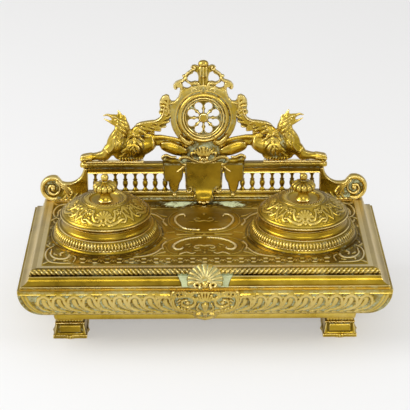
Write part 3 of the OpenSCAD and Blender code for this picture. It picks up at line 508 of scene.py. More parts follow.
def framed(profile, width, depth, middle, steps, relief=None):
    """A moulding mitred round a rectangle; its profile of (inset, height) runs up on the outside.

    relief(side, across, along, inset, height) gives the lift and the ground mark. Sides are 0 front, 1 right,
    2 back and 3 left, and across is measured from the middle of each.
    """
    line, normal, along = dense([(-inset, height) for inset, height in profile], steps[1])
    sides = []
    for side in range(4):
        half, off = ((width, depth), (depth, width))[side % 2]
        half, off = half / 2, off / 2

        def place(u, v, side=side, half=half, off=off):
            row = np.rint(v * (len(line) - 1)).astype(int)
            out, height = line[row].T
            across = (2 * u - 1) * (half + out)
            lift, ground = relief(side, across, along[row], -out, height) if relief else (0 * out, 0)
            lift = lift * rise(half + out - np.abs(across), 0, 1.6)
            away = off + out + normal[row, 0] * lift
            height = height + normal[row, 1] * lift
            turn = side * math.pi / 2
            x = across * math.cos(turn) + away * math.sin(turn)
            y = across * math.sin(turn) - away * math.cos(turn)
            return np.column_stack((x, y + middle, height)), ground

        sides.append(sheet(round(2 * half / steps[0]), len(line) - 1, place))
    return weld(*sides)


# ---------- strands of ornament ----------

def laid_over(ground, mark):
    """The ground with the mark over it, wherever the mark is more than a trace."""
    return np.where(mark > 0.08, np.maximum(ground, mark), ground)


# how wide the painted shade beside a strand is, and the height from which a point is on a strand
STRAND_SHADE_REACH = 1.1
ON_STRAND = 0.12


class Relief:
    """Heights over points (x, y) on which strands of ornament are laid, with painted shade round their feet.
    """

    def __init__(self, x, y, spread=0.0):
        """spread is added to the half width of every strand."""
        self.x, self.y, self.spread = np.asarray(x, float), np.asarray(y, float), spread
        self.height = np.zeros(len(self.x))
        self.shade = np.zeros(len(self.x))

    def outline(self):
        """The mark of the painted shade beside the strands, and of the pale metal on top of them, which is
        worn and painted as a highlight.
        """
        return np.where(self.height > ON_STRAND, -0.3 * rise(self.height, 0.2, 0.8), self.shade)

    def marked(self, ground):
        """The outline's mark on the strands, and the given one beside them."""
        return np.where(self.height > ON_STRAND, self.outline(), ground)

    def lay(self, path, width, height, vein=0.0):
        """A rounded strand along the path; its half width and height may change from end to end."""
        path = np.atleast_2d(np.asarray(path, float))
        if len(path) == 1:
            path = np.vstack((path, path + 1e-3))
        spread = np.linspace(0, 1, len(path))
        width = np.interp(spread, np.linspace(0, 1, np.size(width)), np.atleast_1d(width))
        reach = width.max() + self.spread + STRAND_SHADE_REACH
        low, high = path.min(0) - reach, path.max(0) + reach
        here = np.nonzero((self.x > low[0]) & (self.x < high[0]) & (self.y > low[1]) & (self.y < high[1]))[0]
        if not len(here):
            return
        px, py = self.x[here], self.y[here]
        best, gap = np.full(len(here), 9.0), np.full(len(here), 9.0)
        for (ax, ay), (bx, by), wa, wb in zip(path, path[1:], width, width[1:]):
            dx, dy = bx - ax, by - ay
            share = np.clip(((px - ax) * dx + (py - ay) * dy) / (dx * dx + dy * dy + 1e-9), 0, 1)
            away = np.hypot(px - ax - share * dx, py - ay - share * dy)
            half = wa + (wb - wa) * share + self.spread
            best = np.minimum(best, away / (half + 1e-6))
            gap = np.minimum(gap, away - half)
        lift = height * np.sqrt(np.clip(1 - best ** 2, 0, 1))
        lift = lift - vein * np.clip(1 - best / 0.4, 0, 1)
        self.height[here] = np.maximum(self.height[here], lift)
        self.shade[here] = np.maximum(self.shade[here], np.clip(1 - gap / STRAND_SHADE_REACH, 0, 1))


def curve(*points, steps=5):
    """A smooth path through the points."""
    knots = np.array([points[0], *points, points[-1]], float)
    path = []
    for a, b, c, d in zip(knots, knots[1:], knots[2:], knots[3:]):
        for t in np.arange(steps) / steps:
            path.append(0.5 * (2 * b + (c - a) * t + (2 * a - 5 * b + 4 * c - d) * t * t
                               + (3 * b - a - 3 * c + d) * t ** 3))
    return np.array(path + [knots[-1]])


def whorl(x, y, start, end, outer, inner, steps=16):
    """A spiral path about (x, y), from one angle in degrees and radius to another."""
    turn = np.radians(np.linspace(start, end, steps + 1))
    radius = np.linspace(outer, inner, steps + 1)
    return np.column_stack((x + radius * np.cos(turn), y + radius * np.sin(turn)))


# ---------- plates, prisms and turned parts of the gallery ----------

def loop_of(*parts):
    """A closed outline from points and paths, in order."""
    return np.vstack([np.atleast_2d(np.asarray(part, float)) for part in parts])


def mirrored_loop(half):
    """A closed outline from its right half, which starts and ends on the middle line."""
    half = np.asarray(half, float)
    return np.vstack((half, (half * (-1, 1))[-2:0:-1]))


def nearest_on(loops, points):
    """For each point, the nearest place on the closed loops and the signed distance, positive inside."""
    best = np.full(len(points), 1e9)
    place = np.zeros((len(points), 2))
    inside = np.zeros(len(points), bool)
    px, py = points.T
    for loop in loops:
        for (ax, ay), (bx, by) in zip(loop, np.roll(loop, -1, axis=0)):
            dx, dy = bx - ax, by - ay
            share = np.clip(((px - ax) * dx + (py - ay) * dy) / (dx * dx + dy * dy + 1e-12), 0, 1)
            near = np.column_stack((ax + share * dx, ay + share * dy))
            away = np.hypot(px - near[:, 0], py - near[:, 1])
            closer = away < best
            best[closer] = away[closer]
            place[closer] = near[closer]
            if ay != by:
                crossed = (ay > py) != (by > py)
                inside ^= crossed & (px < ax + (py - ay) * dx / dy)
    return place, np.where(inside, best, -best)


def cut_out(grid, keep):
    """The part of an upright grid whose faces have middles that keep(points) wants.

    Gives the cut grid, its points (across, up) in mm, and which of them are on its rim.
    """
    shape = opened(grid)
    kept = keep(np.array([face.calc_center_median() for face in shape.faces])[:, [0, 2]] / MM)
    unwanted = [face for face, stays in zip(list(shape.faces), kept) if not stays]
    bmesh.ops.delete(shape, geom=unwanted, context="FACES")
    flat = np.array([p.co for p in shape.verts])[:, [0, 2]] / MM
    rim = np.array([p.is_boundary for p in shape.verts])
    return new_mesh(shape), flat, rim


def two_sided(blank, front, back, gap=0.01):
    """A closed body from the blank's faces twice, each with its own points in mm and ground marks."""
    sides = []
    for points, ground in (front, back):
        mesh = blank.copy()
        set_points(mesh, points * MM)
        set_mark(mesh, "ground", ground)
        sides.append(mesh)
    bpy.data.meshes.remove(blank)
    return weld(*sides, gap=gap)


def plate(outline, front, back, relief=None, edge=1.2, step=0.6, holes=()):
    """A cast plate with rounded edges, in the gallery's own (across, depth, up).

    relief(across, up) gives how far the front stands out of its plane at each point, and the ground mark.
    """
    loops = [np.asarray(loop, float) for loop in (outline, *holes)]
    low, high = loops[0].min(0) - step / 2, loops[0].max(0) + step / 2
    columns, rows = np.ceil((high - low) / step).astype(int)
    grid = sheet(columns, rows, lambda u, v: (np.column_stack(
        (low[0] + u * (high[0] - low[0]), 0 * u, low[1] + v * (high[1] - low[1]))), 0))
    blank, flat, rim = cut_out(grid, lambda points: nearest_on(loops, points)[1] > 0)
    near, depth = nearest_on(loops, flat)
    flat[rim] = near[rim]
    depth = np.where(rim, 0, np.maximum(depth, 0.15))
    bulge = np.sqrt(1 - (1 - np.clip(depth / edge, 0, 1)) ** 2)
    lift, ground = relief(*flat.T) if relief else (0 * depth, 0)
    middle, half = (front + back) / 2, (back - front) / 2
    seen = np.column_stack((flat[:, 0], middle - (half + lift) * bulge, flat[:, 1]))
    unseen = np.column_stack((flat[:, 0], middle + half * bulge, flat[:, 1]))
    return two_sided(blank, (seen, ground), (unseen, 0), gap=0.02)


def closed(mesh):
    """The mesh with its open edges filled."""
    shape = opened(mesh)
    bmesh.ops.holes_fill(shape, edges=[e for e in shape.edges if e.is_boundary], sides=0)
    bmesh.ops.recalc_face_normals(shape, faces=shape.faces)
    return new_mesh(shape)


def moulding(profile, start, end, step=(1.2, 0.6), relief=None):
    """A straight length across of a profile of (depth, up), which runs up on the front; its ends are closed.

    relief(across, along, depth, up) gives the lift and the ground mark.
    """
    line, normal, along = dense(profile, step[1])

    def place(u, v):
        row = np.rint(v * (len(line) - 1)).astype(int)
        across = start + u * (end - start)
        depth, up = line[row].T
        lift, ground = relief(across, along[row], depth, up) if relief else (0, 0)
        lift = lift * rise(np.minimum(across - start, end - across), 0, 0.6)
        return np.column_stack((across, depth - normal[row, 0] * lift, up - normal[row, 1] * lift)), ground

    return closed(weld(sheet(max(1, round((end - start) / step[0])), len(line) - 1, place)))


ROD_SEGMENTS = 24


def rod(start, end, radius):
    """A round rod between two points in mm."""
    start, end = Vector(start) * MM, Vector(end) * MM
    shape = bmesh.new()
    turn = (end - start).to_track_quat("Z", "Y").to_matrix().to_4x4()
    bmesh.ops.create_cone(shape, cap_ends=True, segments=ROD_SEGMENTS, radius1=radius * MM,
                          radius2=radius * MM, depth=(end - start).length,
                          matrix=Matrix.Translation((start + end) / 2) @ turn)
    rims = [e for e in shape.edges if len(e.link_faces) == 2 and e.calc_face_angle() > 1]
    bmesh.ops.bevel(shape, geom=rims, offset=0.15 * radius * MM, segments=2, profile=0.5, affect="EDGES",
                    material=-1)
    return new_mesh(shape)


def block(low, high, soften=0.3):
    """A box with softened edges, from its lowest to its highest corner in mm."""
    low, high = np.array(low, float), np.array(high, float)
    shape = bmesh.new()
    size = Matrix.Diagonal((*(high - low) * MM, 1))
    bmesh.ops.create_cube(shape, size=1, matrix=Matrix.Translation(Vector((low + high) / 2) * MM) @ size)
    bmesh.ops.bevel(shape, geom=shape.edges[:], offset=soften * MM, segments=2, profile=0.5, affect="EDGES",
                    material=-1)
    return new_mesh(shape)


def placed(mesh, matrix):
    """The mesh moved by the matrix, with its faces turned outwards again if that mirrors it."""
    mesh.transform(matrix)
    if matrix.determinant() < 0:
        mesh.flip_normals()
    return mesh


# ---------- sizes that the solids give ----------

def size_of(name):
    """A solid's box in mm, as its lowest and highest corner."""
    low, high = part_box(name)
    return np.array(low) / MM, np.array(high) / MM


FRIEZE_LOW, FRIEZE_HIGH = size_of("frieze_box")
LID_LOW, LID_HIGH = size_of("lid_right")
BASE_W, BASE_D = (FRIEZE_HIGH - FRIEZE_LOW)[:2]
BASE_Y = (FRIEZE_HIGH[1] + FRIEZE_LOW[1]) / 2
FRIEZE_TOP = FRIEZE_HIGH[2]
DECK_TOP = size_of("deck_plate")[1][2]
RIM_TOP = 23.2
RIM_INSET = 27.4
WELL_X = (LID_LOW[0] + LID_HIGH[0]) / 2
WELL_Y = LID_LOW[1] + (LID_HIGH[0] - LID_LOW[0]) / 2


# ---------- the base ----------

# the swelling face is an arc over the bottom rim
SWELL_R = 36.83
SWELL_TURN = math.asin((FRIEZE_TOP - RIM_TOP) / SWELL_R)
SWELL_L = SWELL_R * SWELL_TURN
# the running loops start beside the cartouche, and nearer the middle on the ends and the back
LOOP_PITCH = 12.55
FRONT_LOOP, FRONT_LOOPS = 33.4, 9
BACK_LOOP, BACK_LOOPS = FRONT_LOOP - 2 * LOOP_PITCH, 11
END_LOOP, END_LOOPS = 12.2, 5
PELLET_DOWN = 36.6


def loop_band(ornament, first, count):
    """The running loops of the frieze: a ring round a bud, with tails swept down and away from the middle."""
    for k in range(count):
        middle = first + k * LOOP_PITCH

        def at(*points):
            """A curve through points measured from this loop's middle."""
            return curve(*[(middle - q, t) for q, t in points])

        ornament.lay(at((-3.9, 17.5), (-4.5, 12.5), (-3.6, 8.2), (0.2, 5.9), (3.9, 8.2), (4.9, 12.4),
                        (6.6, 17.2), (10.2, 22.2), (14.6, 26.2)), (1.0, 1.6, 1.7, 1.6, 1.4, 0.6), 2.0,
                     vein=0.25)
        ornament.lay(at((-3.9, 17.5), (-2.0, 21.5), (2.5, 25.2), (8.2, 28.2)), (1.0, 1.1, 0.5), 1.5)
        ornament.lay(at((0.2, 10.6), (0.7, 14.2), (2.2, 18.2), (5.6, 22.4), (10.0, 26)),
                     (2.1, 2.0, 1.5, 0.5), 1.15, vein=0.5)
        ornament.lay([(middle - 6.3, 8.2)], 1.0, 1.3)
        ornament.lay([(middle - 6.3, 11.2)], 0.8, 1.0)
        ornament.lay(at((-6.3, 13.5), (-6.0, 17)), (0.9, 0.4), 0.7)
        for shift in (0, LOOP_PITCH / 2):
            ornament.lay([(middle - shift - 1.4, 31.6), (middle - shift + 1.0, 32.6)], 1.9, 1.6)


def frieze():
    """The swelling casting with its running loops, hollow underneath."""
    wall, sunk = 4, 1.5
    outer = arc(SWELL_R, FRIEZE_TOP, SWELL_R, 180 + math.degrees(SWELL_TURN), 180, 60)
    inner = arc(SWELL_R, FRIEZE_TOP, SWELL_R - wall, 180, 180 + math.degrees(SWELL_TURN), 8)
    foot = FRIEZE_LOW[2]
    profile = [(RIM_INSET, foot), (RIM_INSET, RIM_TOP), *outer[1:], (wall, FRIEZE_TOP), *inner[1:],
               (RIM_INSET + wall, foot), (RIM_INSET, foot)]
    rim = RIM_TOP - foot

    def relief(side, across, along, inset, height):
        """The loops on all four sides, with leaves beside the cartouche and a palmette on the others."""
        down = rim + SWELL_L - along
        outside = along <= rim + SWELL_L
        x = np.abs(across)
        ornament = Relief(x, np.where(outside, down, 99))
        if side == 0:
            loop_band(ornament, FRONT_LOOP, FRONT_LOOPS)
        else:
            loop_band(ornament, *((END_LOOP, END_LOOPS) if side % 2 else (BACK_LOOP, BACK_LOOPS)))
            ornament.lay(curve((0, 6.5), (3.2, 9), (3.8, 14), (0, 21)), (1.3, 1.3, 0.8), 1.3)
            ornament.lay([(0, 11), (0, 17)], (1.6, 0.8), 0.9)
            for t in (24, 27.5):
                ornament.lay([(0, t)], 1.3, 1.0)
        half = (BASE_W, BASE_D)[side % 2] / 2
        corner = half - x - inset
        ridge = hump(corner, 3.2, 0.8) + 0.8 * hump(corner, 6.4, 0.9)
        ornament.height = np.maximum(ornament.height, ridge * rise(down, 4, 8))
        if side == 0:
            # leafy shoulders of the cartouche
            ornament.lay(curve((20, 6), (28, 3.6), (35, 4.4), (40, 8.4)), (1.8, 2.4, 2.0, 0.8), 2.6, vein=0.7)
            for start, end in (((27, 5), (29.6, 9.8)), ((31.6, 5.4), (34, 9.4)), ((36, 6), (41.4, 5.2))):
                ornament.lay([start, end], (1.6, 0.7), 2.2, vein=0.4)
        if side % 2 == 0:
            for k in range(2 * FRONT_LOOPS + 1):
                middle = k * LOOP_PITCH / 2
                ornament.lay([(middle - 1.5, PELLET_DOWN), (middle + 1.5, PELLET_DOWN + 1.2)], (1.3, 0.9),
                             1.3)
        band = rise(down, 4.0, 5.2) * fall(down, 38.4, 40)
        lift = band * (ornament.height - sunk)
        roll = np.sqrt(np.clip(1 - ((along - rim / 2 - 0.3) / (rim / 2)) ** 2, 0, 1))
        rolled = np.where(along < rim + 0.3, 0.9 * roll, lift - 0.5)
        lift = np.where(outside & (down > SWELL_L - 3), rolled, lift)
        lift = np.where(outside, lift, 0)
        field = 0.65 + 0.5 * ornament.shade
        # painted shade beside the loops, and their tops painted pale as worn metal and a highlight
        ground = np.where(ornament.height > ON_STRAND, 1.3 * ornament.outline(), field) * (band * outside)
        # the band under the cornice is sunk, and marked with painted shade
        under_deck = outside * fall(down, 2.6, 4.4)
        return lift - 0.9 * under_deck * rise(down, 0, 1.2), laid_over(ground, 0.4 * under_deck)

    step = lambda a, b: 0.85 if max(a[0], b[0]) > -RIM_INSET - 0.1 and a[1] <= b[1] + 1e-6 else 6
    mesh = framed(profile, BASE_W, BASE_D, BASE_Y, (0.85, step), relief)
    piece("frieze_casting", mesh, FRIEZE_BRASS, stands_for=("frieze_box",))


def cartouche_ornament(w):
    """Strapwork, acanthus and a drop, laid on folded x and the distance down from the frieze's top."""
    # strapwork frame: shoulder, outer C, and the volutes with their eyes
    w.lay(curve((29, 7), (27.4, 2.4), (21, 0.8), (13, 2.4), (7, 1.0), (0, 0.8)), (0.9, 1.9, 1.7, 1.3), 2.1,
          vein=0.6)
    w.lay(curve((24.5, 4), (26.8, 9), (26.2, 15.5), (22.2, 21.6), (16, 25.8), (10, 29.4)),
          (1.5, 2.2, 1.9, 1.2), 2.6, vein=0.8)
    w.lay(curve((22, 5.5), (14, 4.4), (8.6, 8.5), (9.4, 14.2), (14.6, 16.4), (19, 13.4), (18.6, 9.2),
                (15, 8.2)), (1.0, 1.6, 1.7, 1.4, 1.0), 2.8, vein=0.5)
    w.lay([(14.6, 11.8)], 2.2, 2.3)
    # acanthus over the shoulders and down the sides
    for k in range(6):
        w.lay(curve((27 - 3.2 * k, 5.0 - 0.3 * k), (28.6 - 3.2 * k, 0.6)), (1.5, 0.5), 2.7, vein=0.6)
        w.lay(curve((22 - 2.5 * k, 18.0 + 1.7 * k), (26.0 - 2.6 * k, 22.6 + 1.6 * k)), (1.6, 0.5), 2.1,
              vein=0.5)
    # palmette at the top, boss in the middle and the drop below it
    for x, down in ((0, 1.6), (2.8, 2.2), (5.2, 4.2), (6.6, 7.4)):
        w.lay([(0.5 * x, 9.5), (x, down)], (0.7, 1.4), 2.4, vein=0.7)
    w.lay([(0, 15.4), (0, 20.5)], (3.4, 2.4), 3.0, vein=0.5)
    for k in range(5):
        w.lay([(13 + 3.2 * k - 0.3 * k * k, 19.4 - 2.6 * k),
               (15.4 + 3.2 * k - 0.3 * k * k, 21.8 - 2.8 * k)], (1.2, 0.5), 1.9, vein=0.4)
        w.lay(curve((2.5 + 1.9 * k, 10.4 - 0.6 * k), (4.2 + 2.2 * k, 6.0 - 0.4 * k)), (0.9, 0.4), 1.9,
              vein=0.3)
    for k in range(4):
        w.lay(curve((3.6 + 0.5 * k, 25.4 + 2.2 * k), (7.6 + 0.3 * k, 24.0 + 2.6 * k)), (1.1, 0.4), 2.0,
              vein=0.4)
    w.lay(curve((5.2, 12.6), (6.8, 18.5), (4.2, 24), (0, 27)), (0.8, 1.5, 1.0), 2.3, vein=0.5)
    w.lay(curve((12.5, 21), (8.6, 24), (9.4, 29.5), (6.2, 32.4), (3.6, 30)), (0.9, 1.5, 1.4, 0.9), 2.4,
          vein=0.4)
    w.lay(curve((9.5, 31), (6.4, 37), (0, 40.4)), (1.3, 1.7, 2.0), 2.6, vein=0.5)
    w.lay([(0, 30), (0, 36.5)], (2.4, 1.5), 2.6, vein=0.7)


def cartouche():
    """The cartouche on the middle of the frieze, cut out round its strapwork, with its tip below the rim."""
    half, step = 30.6, 0.6
    rim_lift, back_lift = -1.6, -2.6
    line, normal, along = dense(
        [(-30.4, 17.2), (-23.4, 16.9), (-19.5, 22.5), (-14.5, 28.5)]
        + [(-inset, z) for inset, z in arc(SWELL_R, FRIEZE_TOP, SWELL_R, 180 + 33, 180, 14)], step)
    drop = along[-1] - along
    outline = mirrored_loop([(0, 0.6), (29, 1.6), (29.4, 7), (27.4, 14), (22, 22), (13, 29), (9.6, 33),
                             (6, 38), (0, 40.6)])

    grid = sheet(round(2 * half / step), len(line) - 1, lambda u, v: (np.column_stack(
        ((2 * u - 1) * half, 0 * u, drop[np.rint(v * (len(line) - 1)).astype(int)])), 0))

    def carving(points):
        """The ornament over points (across, down)."""
        w = Relief(np.abs(points[:, 0]), points[:, 1])
        cartouche_ornament(w)
        return w

    def wanted(points):
        """Which points are within the outline, or on a strand that stands past it."""
        w = carving(points)
        return (nearest_on([outline], np.column_stack((w.x, w.y)))[1] > 0) | (w.height > 0.5)

    blank, flat, rim = cut_out(grid, wanted)
    carved = carving(flat)
    place = np.column_stack([np.interp(-flat[:, 1], -drop, column) for column in (*line.T, *normal.T)])

    def face(lift):
        """The points lifted off the swelling face, and their marks."""
        out = place[:, 0] + place[:, 2] * lift
        points = np.column_stack((flat[:, 0], BASE_Y - BASE_D / 2 - out, place[:, 1] + place[:, 3] * lift))
        return points, carved.marked(0.5 + 0.5 * carved.shade)

    front, back = face(np.where(rim, rim_lift, carved.height)), face(np.where(rim, rim_lift, back_lift))
    piece("frieze_strapwork", two_sided(blank, front, back), MOUNT_BRASS, stands_for=("frieze_cartouche",))


def foot(name):
    """A foot: neck with a row of beads, flaring face with a raised panel, and slab with a small scallop."""
    low, high = size_of(name)
    half = (high[0] - low[0]) / 2
    profile = [(half, 0.0), (0.5, 0.0), (0, 0.5), (0, 2.9), (0.5, 3.4), (1.0, 3.6), (1.2, 4.2), (2.7, 12.6),
               (2.3, 13.3), (1.7, 13.9), (2.0, 14.4), (3.4, 14.7), (3.4, 17.7), (half, 17.7)]

    bead_pitch = 2.5

    def relief(side, across, along, inset, height):
        """The panel in its sunk frame, the beads and the scallop."""
        out = np.abs(across)
        face = (height > 4.2) & (height < 12.6)
        panel = fall(out, 8.6, 9.6) * rise(height, 5.0, 5.9)
        panel = panel * fall(height, 10.9, 11.8)
        sunk = fall(out, 10.6, 11.4) * rise(height, 4.2, 4.7)
        sunk = sunk * fall(height, 12.0, 12.5)
        lift = np.where(face, 0.7 * panel - 0.45 * sunk, 0)
        beads = np.clip(np.cos(across * 2 * np.pi / bead_pitch), 0, 1) * hump(height, 15.6, 0.8)
        lift = lift + np.where((height > 14.6) & (height < 17.6) & (out < 10.4), 0.7 * beads, 0)
        ribs = 1 + 0.35 * np.cos(across * 2.6)
        scallop = hump(across, 0, 3.0) * ribs * fall(height, 1.2, 3.9)
        lift = lift + np.where(height < 4.2, scallop * (inset < 1.2), 0)
        return lift, np.where(face, (1 - panel) * sunk * 0.9, 0.0)

    fine = lambda a, b: 0.6 if a[0] > -5 and b[0] > -5 else 20
    mesh = framed(profile, 2 * half, 2 * half, (low[1] + high[1]) / 2, (0.6, fine), relief)
    mesh.transform(Matrix.Translation(((low[0] + high[0]) / 2 * MM, 0, 0)))
    piece(name + "_casting", mesh, FOOT_BRASS, stands_for=(name,))


# ---------- the deck ----------

DECK_EDGE = 15.4
DECK_T = 4
ROPE_R = 2.7
ROPE_PITCH = 4.0
# the verdigris beside the shell: its distance from the middle and its half width
PATCH_X, PATCH_HALF = 16.5, 5.4


def cornice():
    """Fillet, hollow moulding and the roll along the deck's edge, which is a rope at the front."""
    rope_z = DECK_TOP - ROPE_R
    profile = [(2.2, FRIEZE_TOP), (2.2, FRIEZE_TOP + 2.1), (2.5, FRIEZE_TOP + 2.4), (3.0, FRIEZE_TOP + 2.4),
               *[(i, z) for i, z in arc(3.0, FRIEZE_TOP + 8.4, 6, -90, 0, 10)][1:],
               (9.6, FRIEZE_TOP + 8.7), (11.6, FRIEZE_TOP + 8.6),
               *[(12.7 - (i - 12.7), z) for i, z in arc(12.7, rope_z, ROPE_R, -70, 90, 16)],
               (DECK_EDGE, DECK_TOP), (DECK_EDGE, DECK_TOP - DECK_T), (6.2, FRIEZE_TOP + 2.4),
               (6.2, FRIEZE_TOP), (2.2, FRIEZE_TOP)]

    def relief(side, across, along, inset, height):
        """The rope's twist, a slight wave in the hollow, dirt and painted shade, the front's verdigris, and
        ends painted pale.
        """
        roll = np.degrees(np.arctan2(height - rope_z, 12.7 - inset))
        on_roll = (height > rope_z - ROPE_R - 0.05) & (inset > 9.9) & (inset < 12.8)
        slope = np.sign(across) * np.radians(roll) * 2.0
        strand = np.abs(np.sin(np.pi * (across - slope) / ROPE_PITCH))
        twist = 0.15 - 0.95 * (1 - strand) ** 1.5
        bared = rise(roll, -72, -40) * fall(roll, 84, 98)
        lift = np.where(on_roll & (side == 0), twist * bared, 0)
        wave = 0.12 * np.sin(across * 0.11 + side) * hump(height, 64, 3)
        # dirt and painted shade between the strands of the rope
        ground = np.where(on_roll & (side == 0), fall(lift, -0.8, -0.15) * 0.8, 0)
        away = np.abs(across) - PATCH_X - 0.5 * (height - 64)
        beside = hump(away, 0, PATCH_HALF) * (side == 0)
        in_hollow = (height > FRIEZE_TOP + 2) * (height < rope_z - 1)
        ground = np.maximum(ground, 1.5 * rise(beside, 0.42, 0.6) * in_hollow)
        # painted shade on the fillet under the hollow moulding
        ground = np.maximum(ground, 0.4 * (height < FRIEZE_TOP + 2.3))
        # painted shade in the recess under the rope
        seam = rise(height, 66.9, 67.4) * fall(height, 67.6, 68.6)
        seam = seam * (inset > 9.2) * (inset < 11.8)
        # the left and right ends are painted paler, a painted highlight
        return lift + np.where(inset < 9.1, wave, 0), np.maximum(ground, 0.4 * seam) - 0.6 * (side % 2)

    fine = lambda a, b: 0.55 if min(a[0], b[0]) > -13.5 and a[1] <= b[1] + 0.11 else 20
    mesh = framed(profile, BASE_W, BASE_D, BASE_Y, (0.62, fine), relief)
    piece("cornice", mesh, CORNICE_BRASS, stands_for=("deck_plate",))


def deck_ornament(w):
    """Everything that is chased on the deck, laid on folded x."""
    # thin frame lines and the row of dashes and florets, front and back
    front, back = BASE_Y - 47.0, BASE_Y + 49.0
    w.lay([(0, front), (104, front)], 0.5, 0.5)
    w.lay([(24, back), (60, back)], 0.55, 0.6)
    w.lay([(0, back + 13.4), (118, back + 13.4)], 0.5, 0.5)
    w.lay([(135.6, BASE_Y - 62), (135.6, BASE_Y + 62)], 0.5, 0.45)
    w.lay([(0, BASE_Y - 63.4), (135.6, BASE_Y - 63.4)], 0.5, 0.4)
    for k in range(11):
        x = k * 10.2
        for row in (-53.0, -59.6, 52.6, 59.2):
            w.lay([(x - 1.3, BASE_Y + row), (x + 1.3, BASE_Y + row)], 1.05, 0.75)
        if k < 10:
            for row in (-56.2, 56):
                y = BASE_Y + row
                w.lay(curve((x + 2.6, y - 1.6), (x + 3.8, y + 1.5), (x + 5.1, y - 0.8), (x + 6.4, y + 1.5),
                            (x + 7.6, y - 1.6)), (0.5, 0.75, 0.5), 0.6)
    # front strapwork cartouche
    w.lay(curve((2.5, -12.6), (13, -14.6), (21.1, -19.6), (26, -26.7), (26, -32.6), (22.6, -36),
                (18.9, -34.2), (18.6, -31.4)), (0.5, 0.8, 1.25, 1.3, 0.9, 0.6), 1.15)
    w.lay(curve((0, -8.6), (12, -9.2), (23, -12.6), (30.6, -19), (33.2, -28), (31, -38), (26, -43),
                (23, -44)), (0.55, 0.6), 0.5)
    w.lay(curve((21, -44.6), (15.5, -41.2), (11, -43.6), (8, -42)), (0.9, 0.9, 0.4), 0.7)
    w.lay(curve((0, -29), (4, -27.8), (7.6, -29), (8.6, -32.2), (6, -33.6), (4.4, -31.6)), (0.7, 0.8, 0.5),
          0.7)
    w.lay([(0, -41.4)], 1.5, 0.6)
    w.lay([(0, -36.5)], 1.0, 0.5)
    w.lay(curve((3, -37), (7, -38.5), (9.5, -36.5)), (0.6, 0.5), 0.6)
    w.lay([(12.6, -25.2), (16, -27)], (0.9, 0.6), 0.6)
    w.lay([(13.2, -30.6), (11.4, -28.6)], (0.8, 0.5), 0.5)
    # back strapwork cartouche
    w.lay(curve((4, 2.9), (14.6, 4.3), (20.4, 10), (24.9, 19.4), (25.4, 27.6), (22.6, 34), (18.4, 35.8),
                (16.8, 31.6)), (0.5, 0.7, 1.0, 1.2, 1.0, 0.6), 1.15)
    w.lay(curve((0, -1.6), (12, -0.8), (23, 4.5), (30, 14), (31.6, 26), (28.6, 37), (24, 43)), (0.55, 0.6),
          0.5)
    w.lay(curve((0, 23), (4.4, 21.5), (8, 24), (6.6, 28.4), (3.6, 27)), (0.7, 0.8, 0.5), 0.6)
    w.lay([(0, 35.5), (0, 37.5)], 1.3, 0.6)
    w.lay([(9.6, 20.5), (13.5, 21.5)], (0.8, 0.5), 0.5)
    w.lay([(0, -5.2)], 1.9, 0.6)
    w.lay([(9, -4.6), (24, -5.4)], (0.9, 0.5), 0.6)
    w.lay([(26, 0.2), (33, -2.4)], (0.9, 0.5), 0.5)
    w.lay([(34, -13), (38, -9)], (1.2, 0.6), 0.6)
    for sign in (-1, 1):
        def c(*points, middle=BASE_Y):
            """A curve through points measured from a middle, towards the back or the front."""
            return curve(*[(x, middle + sign * y) for x, y in points])

        # leafy straps beside the wells
        w.lay(c((36.5, 29), (42, 38), (50, 43.5), (60, 46), middle=WELL_Y), (0.8, 1.6, 0.7), 0.7)
        w.lay(c((33, 17), (36, 24), (35, 31), middle=WELL_Y), (1.3, 0.6), 0.7)
        w.lay(c((33.5, 36), (39, 39), (43, 44), middle=WELL_Y), (1.2, 0.6), 0.6)
        # corner scrolls
        w.lay(c((127.6, 27), (133, 34), (134, 46), (130, 57), (121, 60.4), (112, 60.6)),
              (0.5, 0.9, 1.0, 0.6), 0.75)
        w.lay(c((129.6, 34), (129.8, 44), (124.6, 51.5), (117.4, 52), (113.6, 46), (116.8, 39.6),
                (121.4, 41.4), (121.2, 45.6)), (0.6, 1.1, 1.3, 1.2, 0.8), 0.9)
        w.lay(c((112.6, 44.4), (108.4, 50), (109.6, 57.6)), (0.7, 0.9, 0.6), 0.75)
        for x0, y0, x1, y1 in ((131, 58, 134.4, 61.6), (126, 56, 124, 50), (118, 56.4, 114, 54.8),
                               (132.6, 24, 128.6, 16), (134, 12, 131.4, 5), (130.8, 30, 134.6, 24),
                               (104.6, 52.6, 100, 50.6), (122, 36, 125.6, 31), (127, 41, 124.2, 45)):
            w.lay(c((x0, y0), ((x0 + x1) / 2 + 0.8, (y0 + y1) / 2), (x1, y1)), (0.5, 1.25, 0.4), 0.75,
                  vein=0.3)


# the deck's plain margin, its openings, and the plain rings round the wells
MARGIN = 4.6
HOLE_R = 35.6
PLAIN_R = 49


